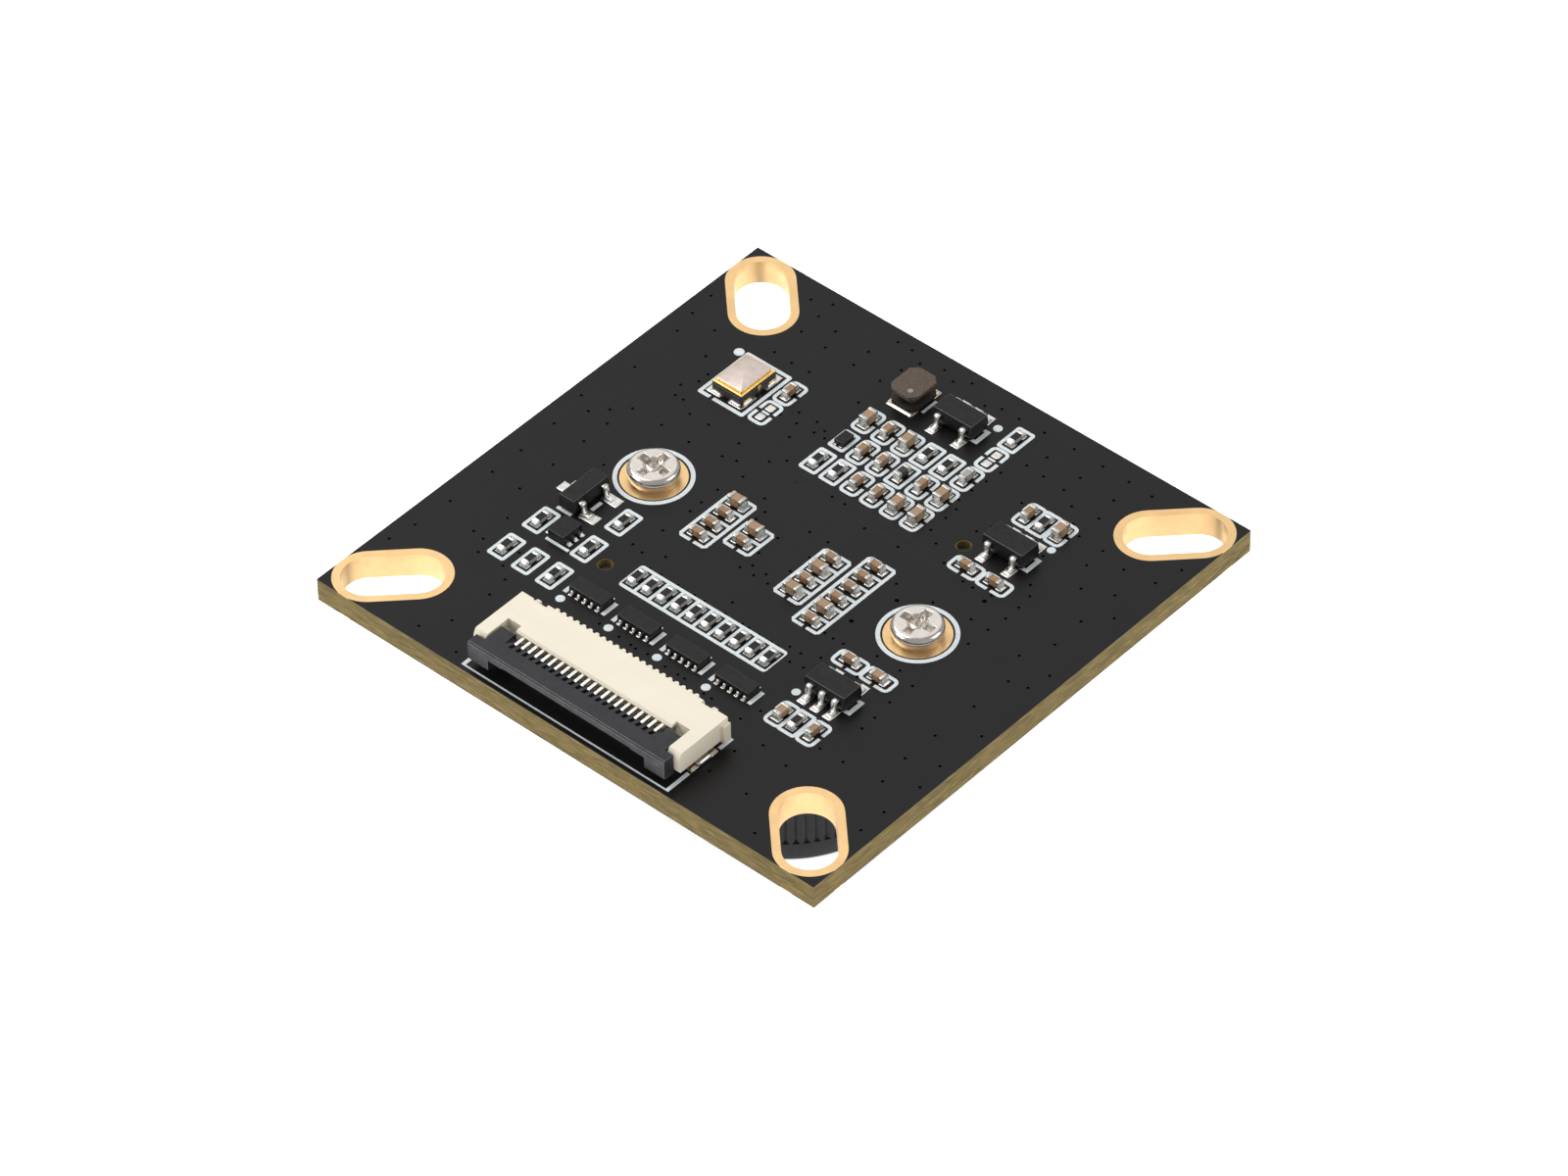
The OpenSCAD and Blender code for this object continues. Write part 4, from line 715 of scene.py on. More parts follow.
def fillets(foot, outward, width_low, width_high, reach, rise, back=0.03 * MM, full=False):
    """Skirts of solder against metal faces, as outlines.

    foot is the middle of the bottom edge of each face, outward the direction that it faces, and
    each width, reach and rise is one number or one for each skirt. At the share t of the rise a
    hollow skirt reaches out by reach * (1 - t) ** 2.3, and a full one by the whole reach up to
    half its rise and then evenly less. The width goes from width_low to width_high with the square
    root of t. The two outer corners are quarter circles, and the skirt goes back into the face."""
    foot, outward = np.atleast_2d(foot), np.atleast_2d(outward)
    width_low, width_high, reach, rise = (
        np.broadcast_to(value, len(foot))[:, None, None]
        for value in (width_low, width_high, reach, rise)
    )
    share = np.array([0.0, 0.04, 0.1, 0.2, 0.34, 0.52, 0.74, 1.0])[:, None]
    hollow, thinnest, corner_share = 2.3, 0.008 * MM, 0.85
    out = reach * (np.minimum(1, 2 * (1 - share)) if full else (1 - share) ** hollow) + thinnest
    half = (width_low + (width_high - width_low) * np.sqrt(share)) / 2
    corner = np.minimum(0.08 * MM, np.minimum(out * corner_share, half * corner_share))
    turn = np.linspace(0, np.pi / 2, 4)
    wide, far = corner * np.cos(turn), corner * np.sin(turn)
    inner = 0 * out - back
    ahead = np.concatenate([inner, out - corner + far, out - corner + wide, inner], axis=-1)
    aside = np.concatenate([half, half - corner + wide, corner - half - far, -half], axis=-1)
    rings = (
        foot[:, None, None, :]
        + outward[:, None, None, :] * ahead[..., None]
        + side_ways(outward)[:, None, None, :] * aside[..., None]
    )
    rings[..., 2] += share * rise
    return rings[:, :, ::-1]


def mounds(low, high, height):
    """Low cushions of solder over lands, as outlines: a rounded rectangle that draws in, by up to
    a quarter of its smaller half width, as it rises along most of a quarter ellipse. Its corners
    take most of the drawing in, and its sides the rest."""
    half = (high - low)[:, :2] / 2
    reach = half.min(axis=1)[:, None, None]
    last, corner_share, draw_share, by_corner, by_side = 0.92, 0.3, 0.28, 0.9, 0.1
    climb = np.linspace(0, np.pi / 2 * last, 5)[:, None]
    around, side_x, side_y = corners_round(3)
    corner = corner_share * reach
    draw = draw_share * reach * (1 - np.cos(climb))
    radius, inset = corner - by_corner * draw, by_side * draw
    x = side_x * (half[:, 0, None, None] - corner - inset) + radius * np.cos(around)
    y = side_y * (half[:, 1, None, None] - corner - inset) + radius * np.sin(around)
    z = height * np.sin(climb) + 0 * around + 0 * x
    middle = np.column_stack([(low + high)[:, :2] / 2, high[:, 2]])
    return np.stack([x, y, z], axis=-1) + middle[:, None, None, :]


def outward_of(cap_low, cap_high, body_low, body_high):
    """For each metal end, the unit direction from the nearest body to it."""
    cap, body = (cap_low + cap_high) / 2, (body_low + body_high) / 2
    near = np.argmin(np.linalg.norm(cap[:, None, :2] - body[None, :, :2], axis=2), axis=1)
    gap = cap - body[near]
    gap[:, 2] = 0
    return unit(gap)


# Body, metal ends, finish and slot of each family of two-ended parts
CHIP_FAMILIES = (
    ("resistor_bodies", "resistor_end_caps", "alumina", "alumina"),
    ("small_capacitor_bodies", "small_capacitor_end_caps", "small_capacitor", "small_cap_ceramic"),
    ("large_capacitor_bodies", "large_capacitor_end_caps", "large_capacitor", "large_cap_ceramic"),
    ("grey_capacitor_body", "grey_capacitor_end_caps", "grey_ceramic", "grey_ceramic"),
    ("ferrite_bead_body", "ferrite_bead_end_caps", "ferrite", "ferrite"),
)


class CAMERA_OT_passives(bpy.types.Operator):
    """Round the resistors, capacitors and bead, and solder them down"""

    bl_idname = "camera_module.passives"
    bl_label = "Resistors and capacitors"

    def execute(self, context):
        edge = context.scene.camera_chips.edge_round
        skirts = []
        for body, caps, finish, slot in CHIP_FAMILIES:
            bodies, ends = solids_of(body), solids_of(caps)
            blocks = rounded_blocks(*bodies, edge * 0.5, 2, 2)
            dress(body + "_rounded", blocks, finish, body)
            resistor = body == "resistor_bodies"
            if resistor:
                end_finish, end_round, end_steps, climb = "resistor_end", 0.12 * MM, 5, 0.96
            else:
                end_finish, end_round, end_steps, climb = "tin", edge, 3, 0.8
            blocks = rounded_blocks(*ends, end_round, 3, end_steps)
            dress(caps + "_rounded", blocks, end_finish, caps)
            outward = outward_of(*ends, *bodies)
            low, high = ends
            size = high - low
            along_x = np.abs(outward[:, 0]) > 0.5
            width = np.where(along_x, size[:, 1], size[:, 0])
            reach = np.where(along_x, size[:, 0], size[:, 1])
            foot = (low + high) / 2 + outward * reach[:, None] / 2
            foot[:, 2] = low[:, 2]
            wide, narrow, rise = width + 0.04 * MM, width * 0.92, size[:, 2] * climb
            skirts.append(fillets(foot, outward, wide, narrow, 0.15 * MM, rise, full=resistor))
        add_solder("resistor_solder_skirts", skirts[0], "dull_solder")
        add_solder("solder_skirts", np.concatenate(skirts[1:]), node="solder_fillets")
        self.glazes(edge)
        add_solder("solder_mounds", mounds(*solids_of("solder_lands"), 0.022 * MM))
        node_finish("solder", "solder_lands")
        return {"FINISHED"}

    def glazes(self, edge):
        """Glaze over the resistors' film, drawn out along them and up to lap over the ends."""
        low, high = solids_of("resistor_glazes")
        size = high - low
        lap, lift = 0.03, 0.024 * MM
        along = np.where(size[:, :1] > size[:, 1:2], [[1, 0, 0]], [[0, 1, 0]])
        low, high = low - along * lap * MM, high + along * lap * MM
        high[:, 2] += lift
        blocks = rounded_blocks(low, high, edge * 0.6, 3, 2)
        dress("resistor_glazes_rounded", blocks, "glaze", "resistor_glazes")


# ------------------------------------------------------------------- chips

# Moulded parts, with the rounding of their edges in millimetres
MOULDED = (
    ("rear_regulator_body", 0.03),
    ("upper_regulator_body", 0.03),
    ("lower_regulator_body", 0.03),
    ("transistor_body", 0.03),
    ("logic_chip_body", 0.02),
    ("switch_chip", 0.02),
    ("line_filter_bodies", 0.018),
)
LEADED = (
    "rear_regulator_leads", "upper_regulator_leads", "lower_regulator_leads", "transistor_leads"
)


def lead_feet(low, high, centre, across):
    """Middle of the bottom edge of each lead's end, and the direction in which the lead leaves the
    body, which is along x where the body is narrower in x."""
    axis = 0 if across[0] < across[1] else 1
    middle = (low + high) / 2
    outward = np.zeros_like(middle)
    outward[:, axis] = np.sign(middle[:, axis] - centre[axis])
    foot = middle + outward * (high - low)[:, axis : axis + 1] / 2
    foot[:, 2] = low[:, 2]
    return foot, outward, axis


class CAMERA_OT_chips(bpy.types.Operator):
    """Round the moulded chips and their leads, and solder the leads down"""

    bl_idname = "camera_module.chips"
    bl_label = "Chips"

    def execute(self, context):
        for node, width in MOULDED:
            # The bevels take a lighter finish, a painted highlight along the chip's edges
            soften(node, width * MM, "moulded", edge="moulded_painted_highlight")
        for node in LEADED:
            dress(node + "_bent", self.gull_leads(node), "lead", node, sharp=50)
        soften("logic_chip_leads", 0.015 * MM, "lead")
        self.filter_terminals()
        skirts = []
        for node in ("logic_chip_leads", *LEADED):
            low, high = solids_of(node)
            body_low, body_high = (c[0] for c in solids_of(node.replace("_leads", "_body")))
            centre, across = (body_low + body_high) / 2, body_high - body_low
            foot, outward, _ = lead_feet(low, high, centre, across)
            if node in LEADED:
                shape = 0.52 * MM, 0.42 * MM, 0.18 * MM, 0.12 * MM, 0.5 * MM
            else:
                shape = 0.24 * MM, 0.24 * 0.8 * MM, 0.14 * MM, 0.1 * MM
            skirts.append(fillets(foot, outward, *shape))
        add_solder("lead_solder", np.concatenate(skirts))
        return {"FINISHED"}

    def filter_terminals(self):
        """Terminals of the line filters, rounded and drawn out over the body's sides."""
        low, high = solids_of("line_filter_terminals")
        past, sunk = 0.07, 0.01 * MM
        outer = np.sign((low + high)[:, 1] - (low + high)[:, 1].mean())
        low[:, 1] += np.minimum(outer, 0) * past * MM
        high[:, 1] += np.maximum(outer, 0) * past * MM
        high[:, 2] -= sunk
        blocks = rounded_blocks(low, high, 0.09 * MM, 4, 4)
        name = "line_filter_terminals"
        dress(name + "_rounded", blocks, "lead", name)

    def gull_leads(self, node):
        """Gull-wing leads, each a strip swept along a bent line from the body's side to the end of
        its foot.

        The line runs out, turns down through a quarter circle, drops, and turns out again through
        a second one. At each of its points the outline is the strip's section, a rectangle with
        cut corners, set square to the line: across is horizontal and the other axis is the line's
        direction crossed with across."""
        low, high = solids_of(node)
        body_low, body_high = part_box(node.replace("_leads", "_body"))
        centre, half_body = (body_low + body_high) / 2, (body_high - body_low) / 2
        _, outward, axis = lead_feet(low, high, centre, half_body)
        reach = np.where(
            outward[:, axis] > 0, high[:, axis] - centre[axis], centre[axis] - low[:, axis]
        )[0]
        thick, bend, top = 0.13 * MM, 0.13 * MM, 0.84 * MM
        inside, straight, level = 0.06 * MM, 0.07 * MM, 0.02 * MM
        root = half_body[axis]
        first = root + straight
        second = first + 2 * bend + level
        turn = np.linspace(np.pi / 2, 0.08, 6)
        wide, tall = bend * np.cos(turn), bend * np.sin(turn)
        line = np.concatenate(
            [
                [(root - inside, top - thick / 2)],
                np.column_stack([first + wide, top - thick / 2 - bend + tall]),
                np.column_stack([second - wide[::-1], thick / 2 + bend - tall[::-1]]),
                [(reach, thick / 2)],
            ]
        )
        along = unit(np.gradient(line, axis=0))
        half, flat, cut = (high - low)[0, 1 - axis] / 2, thick / 2, 0.03 * MM
        p = np.array([half, half, half - cut, cut - half, -half, -half, cut - half, half - cut])
        q = np.array([cut - flat, flat - cut, flat, flat, flat - cut, cut - flat, -flat, -flat])
        start = (low + high) / 2
        start[:, axis], start[:, 2] = centre[axis], low[:, 2]
        ahead = line[:, 0, None] + along[:, 1, None] * q
        rings = (
            start[:, None, None]
            + outward[:, None, None] * ahead[..., None]
            + side_ways(outward)[:, None, None] * p[:, None]
        )
        rings[..., 2] += line[:, 1, None] - along[:, 0, None] * q
        return rings


class CAMERA_OT_oscillator(bpy.types.Operator):
    """Finish the oscillator's base, seal ring and lid"""

    bl_idname = "camera_module.oscillator"
    bl_label = "Oscillator"

    def execute(self, context):
        soften("crystal_base", 0.02 * MM, "crystal_base")
        soften("crystal_seal_ring", 0.05 * MM, "crystal_gold", 4)
        lid = rounded_blocks(*box_of("crystal_lid"), 0.07 * MM, 4, 5)
        dress("crystal_lid_rounded", lid, "crystal_lid", "crystal_lid", sharp=70)
        low, high = box_of("crystal_base")
        middle, half = (low + high) / 2, (high - low) / 2
        foot, outward = [], []
        for sx in (-1, 1):
            for sy in (-1, 1):
                foot.append((middle[0] + sx * half[0], middle[1] + sy * half[1] * 0.66, low[2]))
                foot.append((middle[0] + sx * half[0] * 0.6, middle[1] + sy * half[1], low[2]))
                outward += [(sx, 0, 0), (0, sy, 0)]
        shape = 0.95 * MM, 0.5 * MM, 0.1 * MM, 0.16 * MM
        skirts = fillets(np.array(foot), np.array(outward, float), *shape)
        add_solder("oscillator_solder", skirts)
        strips = self.castellations(low, high)
        dress("oscillator_castellations", strips, "crystal_gold")
        return {"FINISHED"}

    def castellations(self, low, high):
        """Gold strips up the middle of the long sides and beside the corners, each a thin rounded
        block of a half width and a top, at a distance from the middle."""
        middle = (low + high) / 2
        minus, plus, corner_top = 0.01 * MM, 0.012 * MM, low[2] + 0.22 * MM
        boxes = []
        for side in (-1, 1):
            x = middle[0] + side * (high[0] - low[0]) / 2
            for shift, half, top in (
                (0, 0.13, high[2]), (-1.1, 0.3, corner_top), (1.1, 0.3, corner_top)
            ):
                y = middle[1] + shift * MM
                corner = (x - minus, y - half * MM, low[2])
                boxes.append((corner, (x + plus, y + half * MM, top)))
        boxes = np.array(boxes)
        return rounded_blocks(boxes[:, 0], boxes[:, 1], 0.008 * MM, 2, 2)


class CAMERA_OT_inductor(bpy.types.Operator):
    """Finish the power inductor's drum, winding and end plates"""

    bl_idname = "camera_module.inductor"
    bl_label = "Inductor"

    def execute(self, context):
        core = self.core()
        dress("inductor_core_chipped", core, "drum", "inductor_core", sharp=40)
        soften("inductor_terminals", 0.02 * MM, "copper")
        dress("inductor_turns", self.winding(), "wire", "inductor_winding")
        low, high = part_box("inductor_core")
        middle = (low + high) / 2
        place = (middle.x + 0.32 * MM, middle.y - 0.66 * MM, high.z - 0.001 * MM)
        dot = revolve([(0.17 * MM, 0), (0.165 * MM, 0.006 * MM), (0.02 * MM, 0.007 * MM)], 24)
        dress("inductor_dot", dot + np.array(place), "dot")
        low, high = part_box("inductor_terminals")
        middle = (low + high) / 2
        foot = np.array([[middle.x, low.y, low.z], [middle.x, high.y, low.z]])
        outward = np.array([[0, -1, 0], [0, 1, 0]], float)
        skirts = fillets(foot, outward, 1.9 * MM, 1.7 * MM, 0.14 * MM, 0.12 * MM)
        add_solder("inductor_solder", skirts)
        return {"FINISHED"}

    def core(self):
        """Drum between two chipped flanges, as outlines.

        A flange's outline is a square with cut corners: at the angle a its radius is the nearest of
        the square's side, half / cos(a), and the cut, at 45 degrees. Worn spots draw it in by a
        smooth random amount, which grows towards the top edge and at the corners."""
        low, high = box_of("inductor_core")
        middle, half = (low + high)[:2] / 2, ((high - low) / 2)[:2]
        turn = np.linspace(0, 2 * np.pi, 240, endpoint=False)
        cos, sin = np.cos(turn), np.sin(turn)
        tiny, cut, spread = 1e-6, 0.42 * MM, 0.12 * MM
        plain = np.minimum(
            half[0] / np.maximum(abs(cos), tiny), half[1] / np.maximum(abs(sin), tiny)
        )
        corner = (half.sum() - cut) / (abs(cos) + abs(sin))
        radius = np.minimum(plain, corner)
        at_corner = np.exp(-(((plain - corner) / spread) ** 2))
        draws = np.random.default_rng(7)

        def chips(depth):
            wave = sum(
                draws.uniform(0.3, 1) * np.sin(k * turn + draws.uniform(0, 6.3))
                for k in range(7, 60, 4)
            )
            return depth * np.clip(wave / 3, 0, 1.6) * (0.5 + at_corner)

        thick, waist, deep, shallow = 0.22 * MM, radius * 0.6, 0.09 * MM, 0.05 * MM
        stack = []
        for base in (low[2], high[2] - thick):
            for share, draw in ((0, 0.03), (0.1, 0), (0.85, 0), (0.96, 0.02), (1, 0.05)):
                worn = chips(deep if share > 0.5 else shallow)
                stack.append((radius - draw * MM - worn, base + thick * share))
            if base == low[2]:
                stack += [(waist, base + thick), (waist, high[2] - thick)]
        r = np.array([r for r, _ in stack])
        z = np.array([z + 0 * turn for _, z in stack])
        return np.stack([middle[0] + r * cos, middle[1] + r * sin, z], axis=-1)

    def winding(self):
        """Turns of round wire, one above the other: the outline is a rounded square whose half
        width swells and narrows as the square root of 1 - u * u over each wire's height."""
        low, high = box_of("inductor_winding")
        turns, per_turn = 4, 6
        u = np.tile(np.linspace(-0.96, 0.96, per_turn), turns)
        level = (np.arange(turns * per_turn) // per_turn + 0.5) / turns + u / (2 * turns)
        bulge = np.sqrt(1 - u**2)
        wire = (high[2] - low[2]) / turns / 2
        around, side_x, side_y = corners_round(6)
        half = (high - low)[:2] / 2 - 0.2 * MM
        corner = 0.3 * MM
        radius = corner - wire * (1 - bulge)[:, None]
        x = side_x * (half[0] - corner) + radius * np.cos(around)
        y = side_y * (half[1] - corner) + radius * np.sin(around)
        z = low[2] + (high[2] - low[2]) * level[:, None] + 0 * x
        return np.stack([x, y, z], axis=-1) + np.array([*((low + high) / 2)[:2], 0])


# --------------------------------------------------------------- connector


class CAMERA_OT_connector(bpy.types.Operator):
    """Finish the cable connector, its contacts and its latch"""

    bl_idname = "camera_module.connector"
    bl_label = "Cable connector"

    def execute(self, context):
        edge = context.scene.camera_connector.edge_round
        soften("fpc_housing", edge, "housing")
        # The latch's bevels take a lighter finish, a painted highlight along its edges
        soften(
            "fpc_latch", edge * 1.4, "latch", body="latch", edge="latch_painted_highlight"
        )
        soften("fpc_contacts", 0.035 * MM, "contact", 3)
        soften("fpc_anchor_tabs", 0.02 * MM, "tab")
        low, high = solids_of("fpc_contacts")
        foot = (low + high) / 2
        foot[:, 1], foot[:, 2] = high[:, 1], low[:, 2]
        outward = np.tile([0.0, 1.0, 0.0], (len(foot), 1))
        shape = 0.29 * MM, 0.2 * MM, 0.24 * MM, 0.12 * MM, 0.45 * MM
        add_solder("tail_solder", fillets(foot, outward, *shape))
        add_solder("tab_solder", self.lumps(), "lead")
        return {"FINISHED"}

    def lumps(self):
        """Lumps of solder over the anchor tabs, as outlines: past each tab's outer end, and wider
        than it on both sides. The lengths are in millimetres."""
        past, length_x, half_y, rise, shift = 0.24, 0.5, 0.52, 0.34, 0.05
        boxes = []
        for low, high in zip(*solids_of("fpc_anchor_tabs")):
            side = 1.0 if low[0] > 0 else -1.0
            outer = (high[0] if side > 0 else low[0]) + side * past * MM
            inner = outer - side * length_x * MM
            middle = (low[1] + high[1]) / 2 - shift * MM
            corner = (min(inner, outer), middle - half_y * MM, low[2])
            boxes.append((corner, (max(inner, outer), middle + half_y * MM, low[2] + rise * MM)))
        boxes = np.array(boxes)
        return rounded_blocks(boxes[:, 0], boxes[:, 1], 0.16 * MM, 5, 5)


class CAMERA_OT_screws(bpy.types.Operator):
    """Shape the two cross-head screws"""

    bl_idname = "camera_module.screws"
    bl_label = "Screws"

    def execute(self, context):
        look = context.scene.camera_screws
        low, high = solids_of("holder_screws")
        middle = (low + high) / 2
        middle[:, 2] = 0
        place = middle[:, None, None, :]
        twist = 0.07
        turns = np.where(middle[:, 0] < 0, -twist, twist)
        heads = np.concatenate([self.head(look, high[0, 2] - TOP, turn) for turn in turns])
        heads[..., 2] += TOP
        end = low[0, 2]
        shank = [(0.3 * MM, end), (0.62 * MM, end + 0.15 * MM), (0.9 * MM, end + 0.5 * MM)]
        shank = revolve(shank + [(0.93 * MM, TOP)], 32)
        dress("screw_heads", heads + place, "screw", "holder_screws", sharp=38)
        dress("screw_shanks", shank + place, "screw")
        return {"FINISHED"}

    def head(self, look, height, turn):
        """Pan head with a cross recess, on outlines from the head's foot to the recess's floor.

        The outer outlines are circles that follow the flared side, the quarter circle of the
        shoulder and the dome, which falls with the square of the radius. The cross's outline at
        the angle a from the nearest wing's middle line is the nearer of its end,
        span / (2 * cos(a)), and its side, width / (2 * sin(a)). The outlines on the dome between
        the circle and the cross are mixed from the two, and the recess goes on down with a smaller
        and smaller cross."""
        radius, crown = 1.56 * MM, 0.3 * MM
        shoulder = height - 0.04 * MM
        arc = np.linspace(0, np.radians(80), 9)
        side = [(1.4 * MM, 0), (1.47 * MM, 0.15 * MM), (1.53 * MM, 0.32 * MM), (radius, 0.46 * MM)]
        across, up = radius - crown + crown * np.cos(arc), shoulder - crown + crown * np.sin(arc)
        side += list(zip(across, up))
        angle = np.linspace(0, 2 * np.pi, 192, endpoint=False)
        fold = np.abs((angle + np.pi / 4) % (np.pi / 2) - np.pi / 4)

        def cross(span, width):
            arm = np.minimum(span / 2 / np.cos(fold), width / 2 / np.maximum(np.sin(fold), 1e-6))
            return np.maximum(arm, width * 1.02)

        edge_r, edge_z = side[-1]
        span, width, draft = look.recess_span, look.recess_width, 0.62 * MM
        lip = cross(span, width)
        rings = [(r + 0 * angle, z + 0 * angle) for r, z in side]
        for mix in (0.25, 0.5, 0.75, 0.93, 1.0):
            r = edge_r * (1 - mix) + lip * mix
            rings.append((r, height - (height - edge_z) * (r / edge_r) ** 2))
        for share, shrink in ((0.08, 0.09), (0.5, 0.3), (0.92, 0.5), (1.0, 0.66)):
            inner = cross(span - 2 * shrink * draft, width - shrink * draft)
            rings.append((inner, height - look.recess_depth * share + 0 * angle))
        r, z = (np.array(part) for part in zip(*rings))
        return np.stack([r * np.cos(angle + turn), r * np.sin(angle + turn), z], axis=-1)[None]


# -------------------------------------------------------------------- lens


class CAMERA_OT_holder(bpy.types.Operator):
    """Finish the lens holder"""

    bl_idname = "camera_module.holder"
    bl_label = "Lens holder"

    def execute(self, context):
        soften("lens_holder", 0.12 * MM, "holder", 3)
        return {"FINISHED"}


class CAMERA_OT_lens(bpy.types.Operator):
    """Shape the lens barrel with its grip and thread, and finish the glass"""

    bl_idname = "camera_module.lens"
    bl_label = "Lens"

    def execute(self, context):
        barrel = wear(self.barrel(context.scene.camera_lens), "barrel")
        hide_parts("lens_barrel")
        soften("lens_retaining_ring", 0.05 * MM, "barrel", 3)
        node_finish("coated_glass", "middle_lens", "rear_lens")
        front = self.front_glass()
        dress("front_glass", front, "coated_glass", "front_lens", sharp=25)
        node_finish("barrel", "front_spacer", "rear_spacer")
        node_finish("filter_glass", "infrared_filter")
        node_finish("cover_glass", "sensor_cover_glass")
        node_finish("dark_ceramic", "sensor_package")
        node_finish("silicon", "sensor_die")
        return {"FINISHED"}

    def barrel(self, look):
        """Lens barrel as a turned profile on a fine grid.

        The profile's outline is the CAD barrel's, from the mouth over the grip and thread to the
        far end, and back inside it. Between the neck and the far end its radius falls by a V
        thread: its depth times the triangle wave of height over pitch minus angle over a full turn.
        On the grip the radius falls by a share of the cosine of 72 times the angle, and the mouth
        is stepped."""
        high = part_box("lens_barrel")[1]
        head, end = high.x, high.z
        mouth, thread, bore, lip, neck = 5.9 * MM, 6.0 * MM, 4.78 * MM, 3.3 * MM, 5.5 * MM
        depth, flute_depth, flutes, step = 0.3 * MM, 0.14 * MM, 72, 0.03 * MM
        ring_low, ring_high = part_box("lens_retaining_ring")
        ring_r = ring_high.x + 0.03 * MM
        rear_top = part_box("rear_lens")[0].z + 1.4 * MM
        outer = [
            (mouth, 0.0), (mouth + 0.1 * MM, 0.0), (head - 0.3 * MM, 0.0),
            (head - 0.08 * MM, 0.08 * MM), (head, 0.3 * MM), (head, 1.35 * MM),
        ]
        grip = [(head, z) for z in np.linspace(1.4, 4.1, 28) * MM]
        shoulder = [
            (head, 4.15 * MM), (head, neck - 0.3 * MM), (head - 0.09 * MM, neck - 0.09 * MM),
            (head - 0.3 * MM, neck), (thread + 0.02 * MM, neck),
        ]
        heights = np.arange(neck / MM + 0.05, end / MM - 0.3, 0.0625) * MM
        screw = [(thread, z) for z in heights]
        inside = [
            (thread - 0.3 * MM, end), (lip, end), (lip, rear_top), (bore, rear_top),
            (bore, ring_high.z), (ring_r, ring_high.z), (ring_r, ring_low.z),
            (ring_r, ring_low.z - 0.02 * MM),
        ]
        shares = np.linspace(0.05, 0.98, 12)
        baffle = [(ring_r + (mouth - ring_r) * t, ring_low.z * (1 - t)) for t in shares]
        plain, gripped, threaded, stepped = range(4)
        parts = (
            (outer, plain), (grip, gripped), (shoulder, plain), (screw, threaded),
            (inside, plain), (baffle, stepped),
        )
        profile = np.array([point for points, _ in parts for point in points])
        kind = np.array([kind for points, kind in parts for _ in points])[:, None]
        steps = 216
        angle = np.linspace(0, 2 * np.pi, steps, endpoint=False)
        radius, height = (profile[:, side, None] + 0 * angle for side in (0, 1))
        wave = np.abs(((height / look.thread_pitch - angle / (2 * np.pi)) % 1) * 2 - 1)
        fade = np.clip((height - neck) / (0.3 * MM), 0, 1)
        radius = np.where(kind == threaded, radius - depth * wave * fade, radius)
        flute = np.clip(0.5 + 0.9 * np.cos(flutes * angle), 0, 1)
        radius = np.where(kind == gripped, radius - flute_depth * flute, radius)
        odd = (np.arange(len(profile)) % 2)[:, None]
        radius = np.where(kind == stepped, radius + step * odd, radius)
        points = np.stack([radius * np.cos(angle), radius * np.sin(angle), height], axis=-1)
        index = np.arange(len(profile) * steps).reshape(len(profile), steps)
        below = np.roll(index, -1, axis=0)
        quads = np.stack([index, np.roll(index, -1, 1), np.roll(below, -1, 1), below], axis=-1)
        return add_piece("lens_barrel_turned", points, quads.reshape(-1, 4).tolist(), 32)

    def front_glass(self):
        """Front lens as a turned profile: a dome towards the front, a flat rim and a hollow at the
        back. A dome's height is that of a sphere, R - sqrt(R * R - r * r) below its top."""
        low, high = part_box("front_lens")
        rim, edge, front, bulge = high.x, 4.07 * MM, low.z, 1.0 * MM
        hollow_r, hollow_d = rim - 1.2 * MM, 0.8 * MM
        centre = 0.01 * MM

        def sphere(r, reach, sag):
            big = (reach * reach + sag * sag) / (2 * sag)
            return big - np.sqrt(big * big - r * r)

        dome = [(r, front + sphere(r, edge, bulge)) for r in np.linspace(centre, edge, 28)]
        hollow = [
            (r, high.z - hollow_d + sphere(r, hollow_r, hollow_d))
            for r in np.linspace(hollow_r, centre, 28)
        ]
        return revolve(dome + [(rim, front + bulge), (rim, high.z)] + hollow, 96)


# ------------------------------------------------------------------- stage


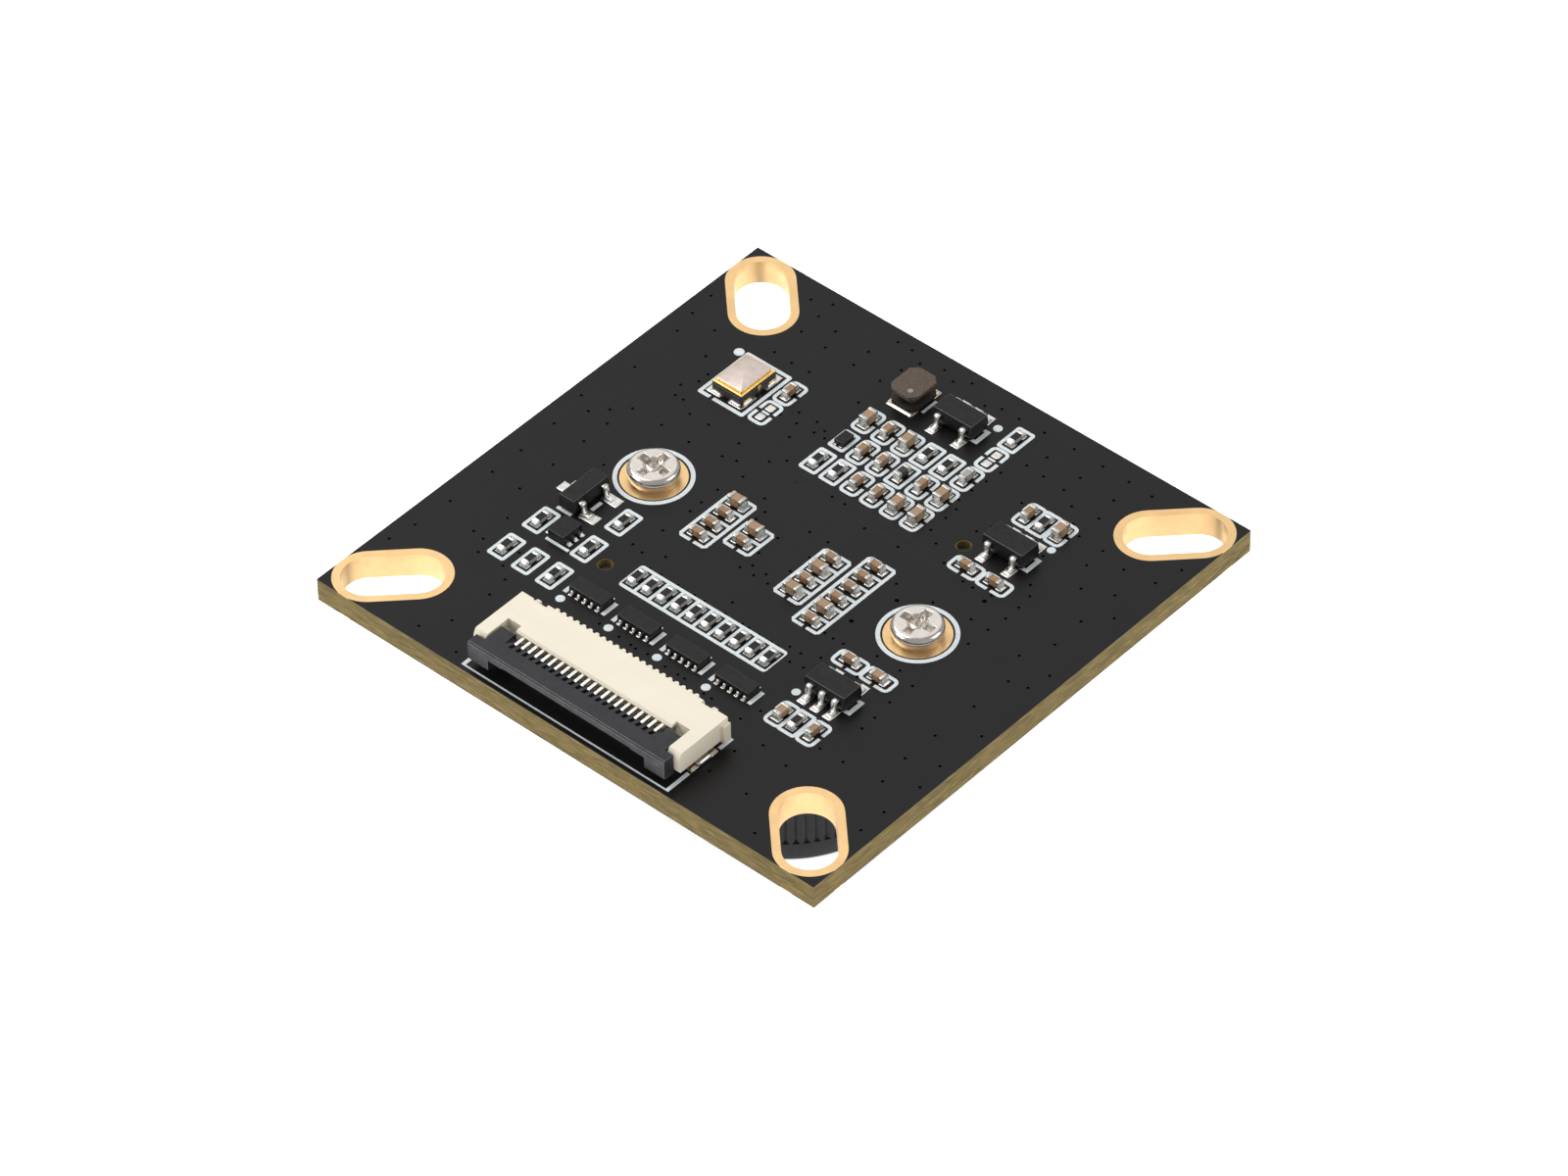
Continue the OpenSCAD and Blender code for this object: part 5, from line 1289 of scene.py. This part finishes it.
class CAMERA_OT_stage(bpy.types.Operator):
    """Add the floor, the lights and the camera"""

    bl_idname = "camera_module.stage"
    bl_label = "Stage"

    def execute(self, context):
        look = context.scene.camera_stage
        corners = np.array([(-1.5, -1.5, 0), (1.5, -1.5, 0), (1.5, 1.5, 0), (-1.5, 1.5, 0)])
        floor = add_piece("floor", corners, [[0, 1, 2, 3]], body=None)
        pale = finish_of("floor")
        pale.set("Emission Color", (1, 1, 1, 1))
        pale.set("Emission Strength", look.floor_glow)
        wear(floor, "floor")
        self.light("key", (-0.2, -0.02, 0.34), 0.2, look.key_glow)
        self.light("back_box", (-0.32, 0.35, 0.45), 0.5, look.back_glow)
        self.light("left_box", (-0.32, -0.42, 0.33), 0.36, look.side_glow)
        self.light("right_box", (0.45, 0.28, 0.33), 0.36, look.side_glow)
        world = bpy.data.worlds.new("studio")
        context.scene.world = world
        world.use_nodes = True
        background = world.node_tree.nodes["Background"]
        background.inputs["Color"].default_value = (1, 1, 1, 1)
        background.inputs["Strength"].default_value = look.room_glow
        context.scene.view_settings.view_transform = "Standard"
        self.camera(context)
        return {"FINISHED"}

    def light(self, name, place, size, glow):
        """Square soft box that faces the board, of a given brightness: its power is the brightness
        times its area and pi."""
        lamp = bpy.data.lights.new(name, "AREA")
        lamp.size = size
        lamp.energy = glow * size * size * np.pi
        holder = bpy.data.objects.new(name, lamp)
        bpy.context.scene.collection.objects.link(holder)
        holder.location = place
        ahead = Vector((0, 0, TOP)) - Vector(place)
        holder.rotation_euler = ahead.to_track_quat("-Z", "Y").to_euler()

    def camera(self, context):
        """Camera 42.45 degrees round from the connector's side and 43.43 degrees above the board,
        rolled a little."""
        azimuth, elevation, roll = (np.radians(v) for v in (42.454, 43.429, -1.246))
        level, lift = np.cos(elevation), np.sin(elevation)
        back = Vector((np.sin(azimuth) * level, -np.cos(azimuth) * level, lift))
        right = Vector((np.cos(azimuth), np.sin(azimuth), 0))
        up = back.cross(right)
        cos, sin = np.cos(roll), np.sin(roll)
        right, up = right * cos + up * sin, up * cos - right * sin
        data = bpy.data.cameras.new("camera")
        data.sensor_width = 36
        data.lens = 197.61
        data.clip_start = 0.01
        eye = bpy.data.objects.new("camera", data)
        context.scene.collection.objects.link(eye)
        place = right * -0.0326 * MM + up * -1.890 * MM + back * 487.82 * MM + Vector((0, 0, TOP))
        turned = Matrix((right, up, back)).transposed().to_4x4()
        eye.matrix_world = Matrix.Translation(place) @ turned
        context.scene.camera = eye


class CAMERA_PT_panel(bpy.types.Panel):
    bl_idname = "CAMERA_PT_panel"
    bl_label = "Board Camera"
    bl_space_type = "VIEW_3D"
    bl_region_type = "UI"
    bl_category = "Camera"

    def draw(self, context):
        for title, name, group, operators in SECTIONS:
            box = self.layout.box()
            box.label(text=title)
            for value in group.__annotations__:
                box.prop(getattr(context.scene, name), value)
            for operator in operators:
                box.operator(operator.bl_idname)


CHIP_OPERATORS = (
    CAMERA_OT_passives, CAMERA_OT_chips, CAMERA_OT_oscillator, CAMERA_OT_inductor
)

# Title in the side panel, name and class of the settings, and operators, in working order
SECTIONS = (
    ("Board", "camera_board", BoardLook, (CAMERA_OT_board,)),
    ("Chips", "camera_chips", ChipLook, CHIP_OPERATORS),
    ("Cable connector", "camera_connector", ConnectorLook, (CAMERA_OT_connector,)),
    ("Screws", "camera_screws", ScrewLook, (CAMERA_OT_screws,)),
    ("Lens", "camera_lens", LensLook, (CAMERA_OT_holder, CAMERA_OT_lens)),
    ("Stage", "camera_stage", StageLook, (CAMERA_OT_stage,)),
)


def register():
    for _, name, group, operators in SECTIONS:
        bpy.utils.register_class(group)
        setattr(bpy.types.Scene, name, PointerProperty(type=group))
        for operator in operators:
            bpy.utils.register_class(operator)
    bpy.utils.register_class(CAMERA_PT_panel)


def unregister():
    bpy.utils.unregister_class(CAMERA_PT_panel)
    for _, name, group, operators in reversed(SECTIONS):
        for operator in reversed(operators):
            bpy.utils.unregister_class(operator)
        delattr(bpy.types.Scene, name)
        bpy.utils.unregister_class(group)


def main():
    register()
    for _, _, _, operators in SECTIONS:
        for operator in operators:
            family, name = operator.bl_idname.split(".")
            getattr(getattr(bpy.ops, family), name)()


if __name__ == "__main__":
    main()
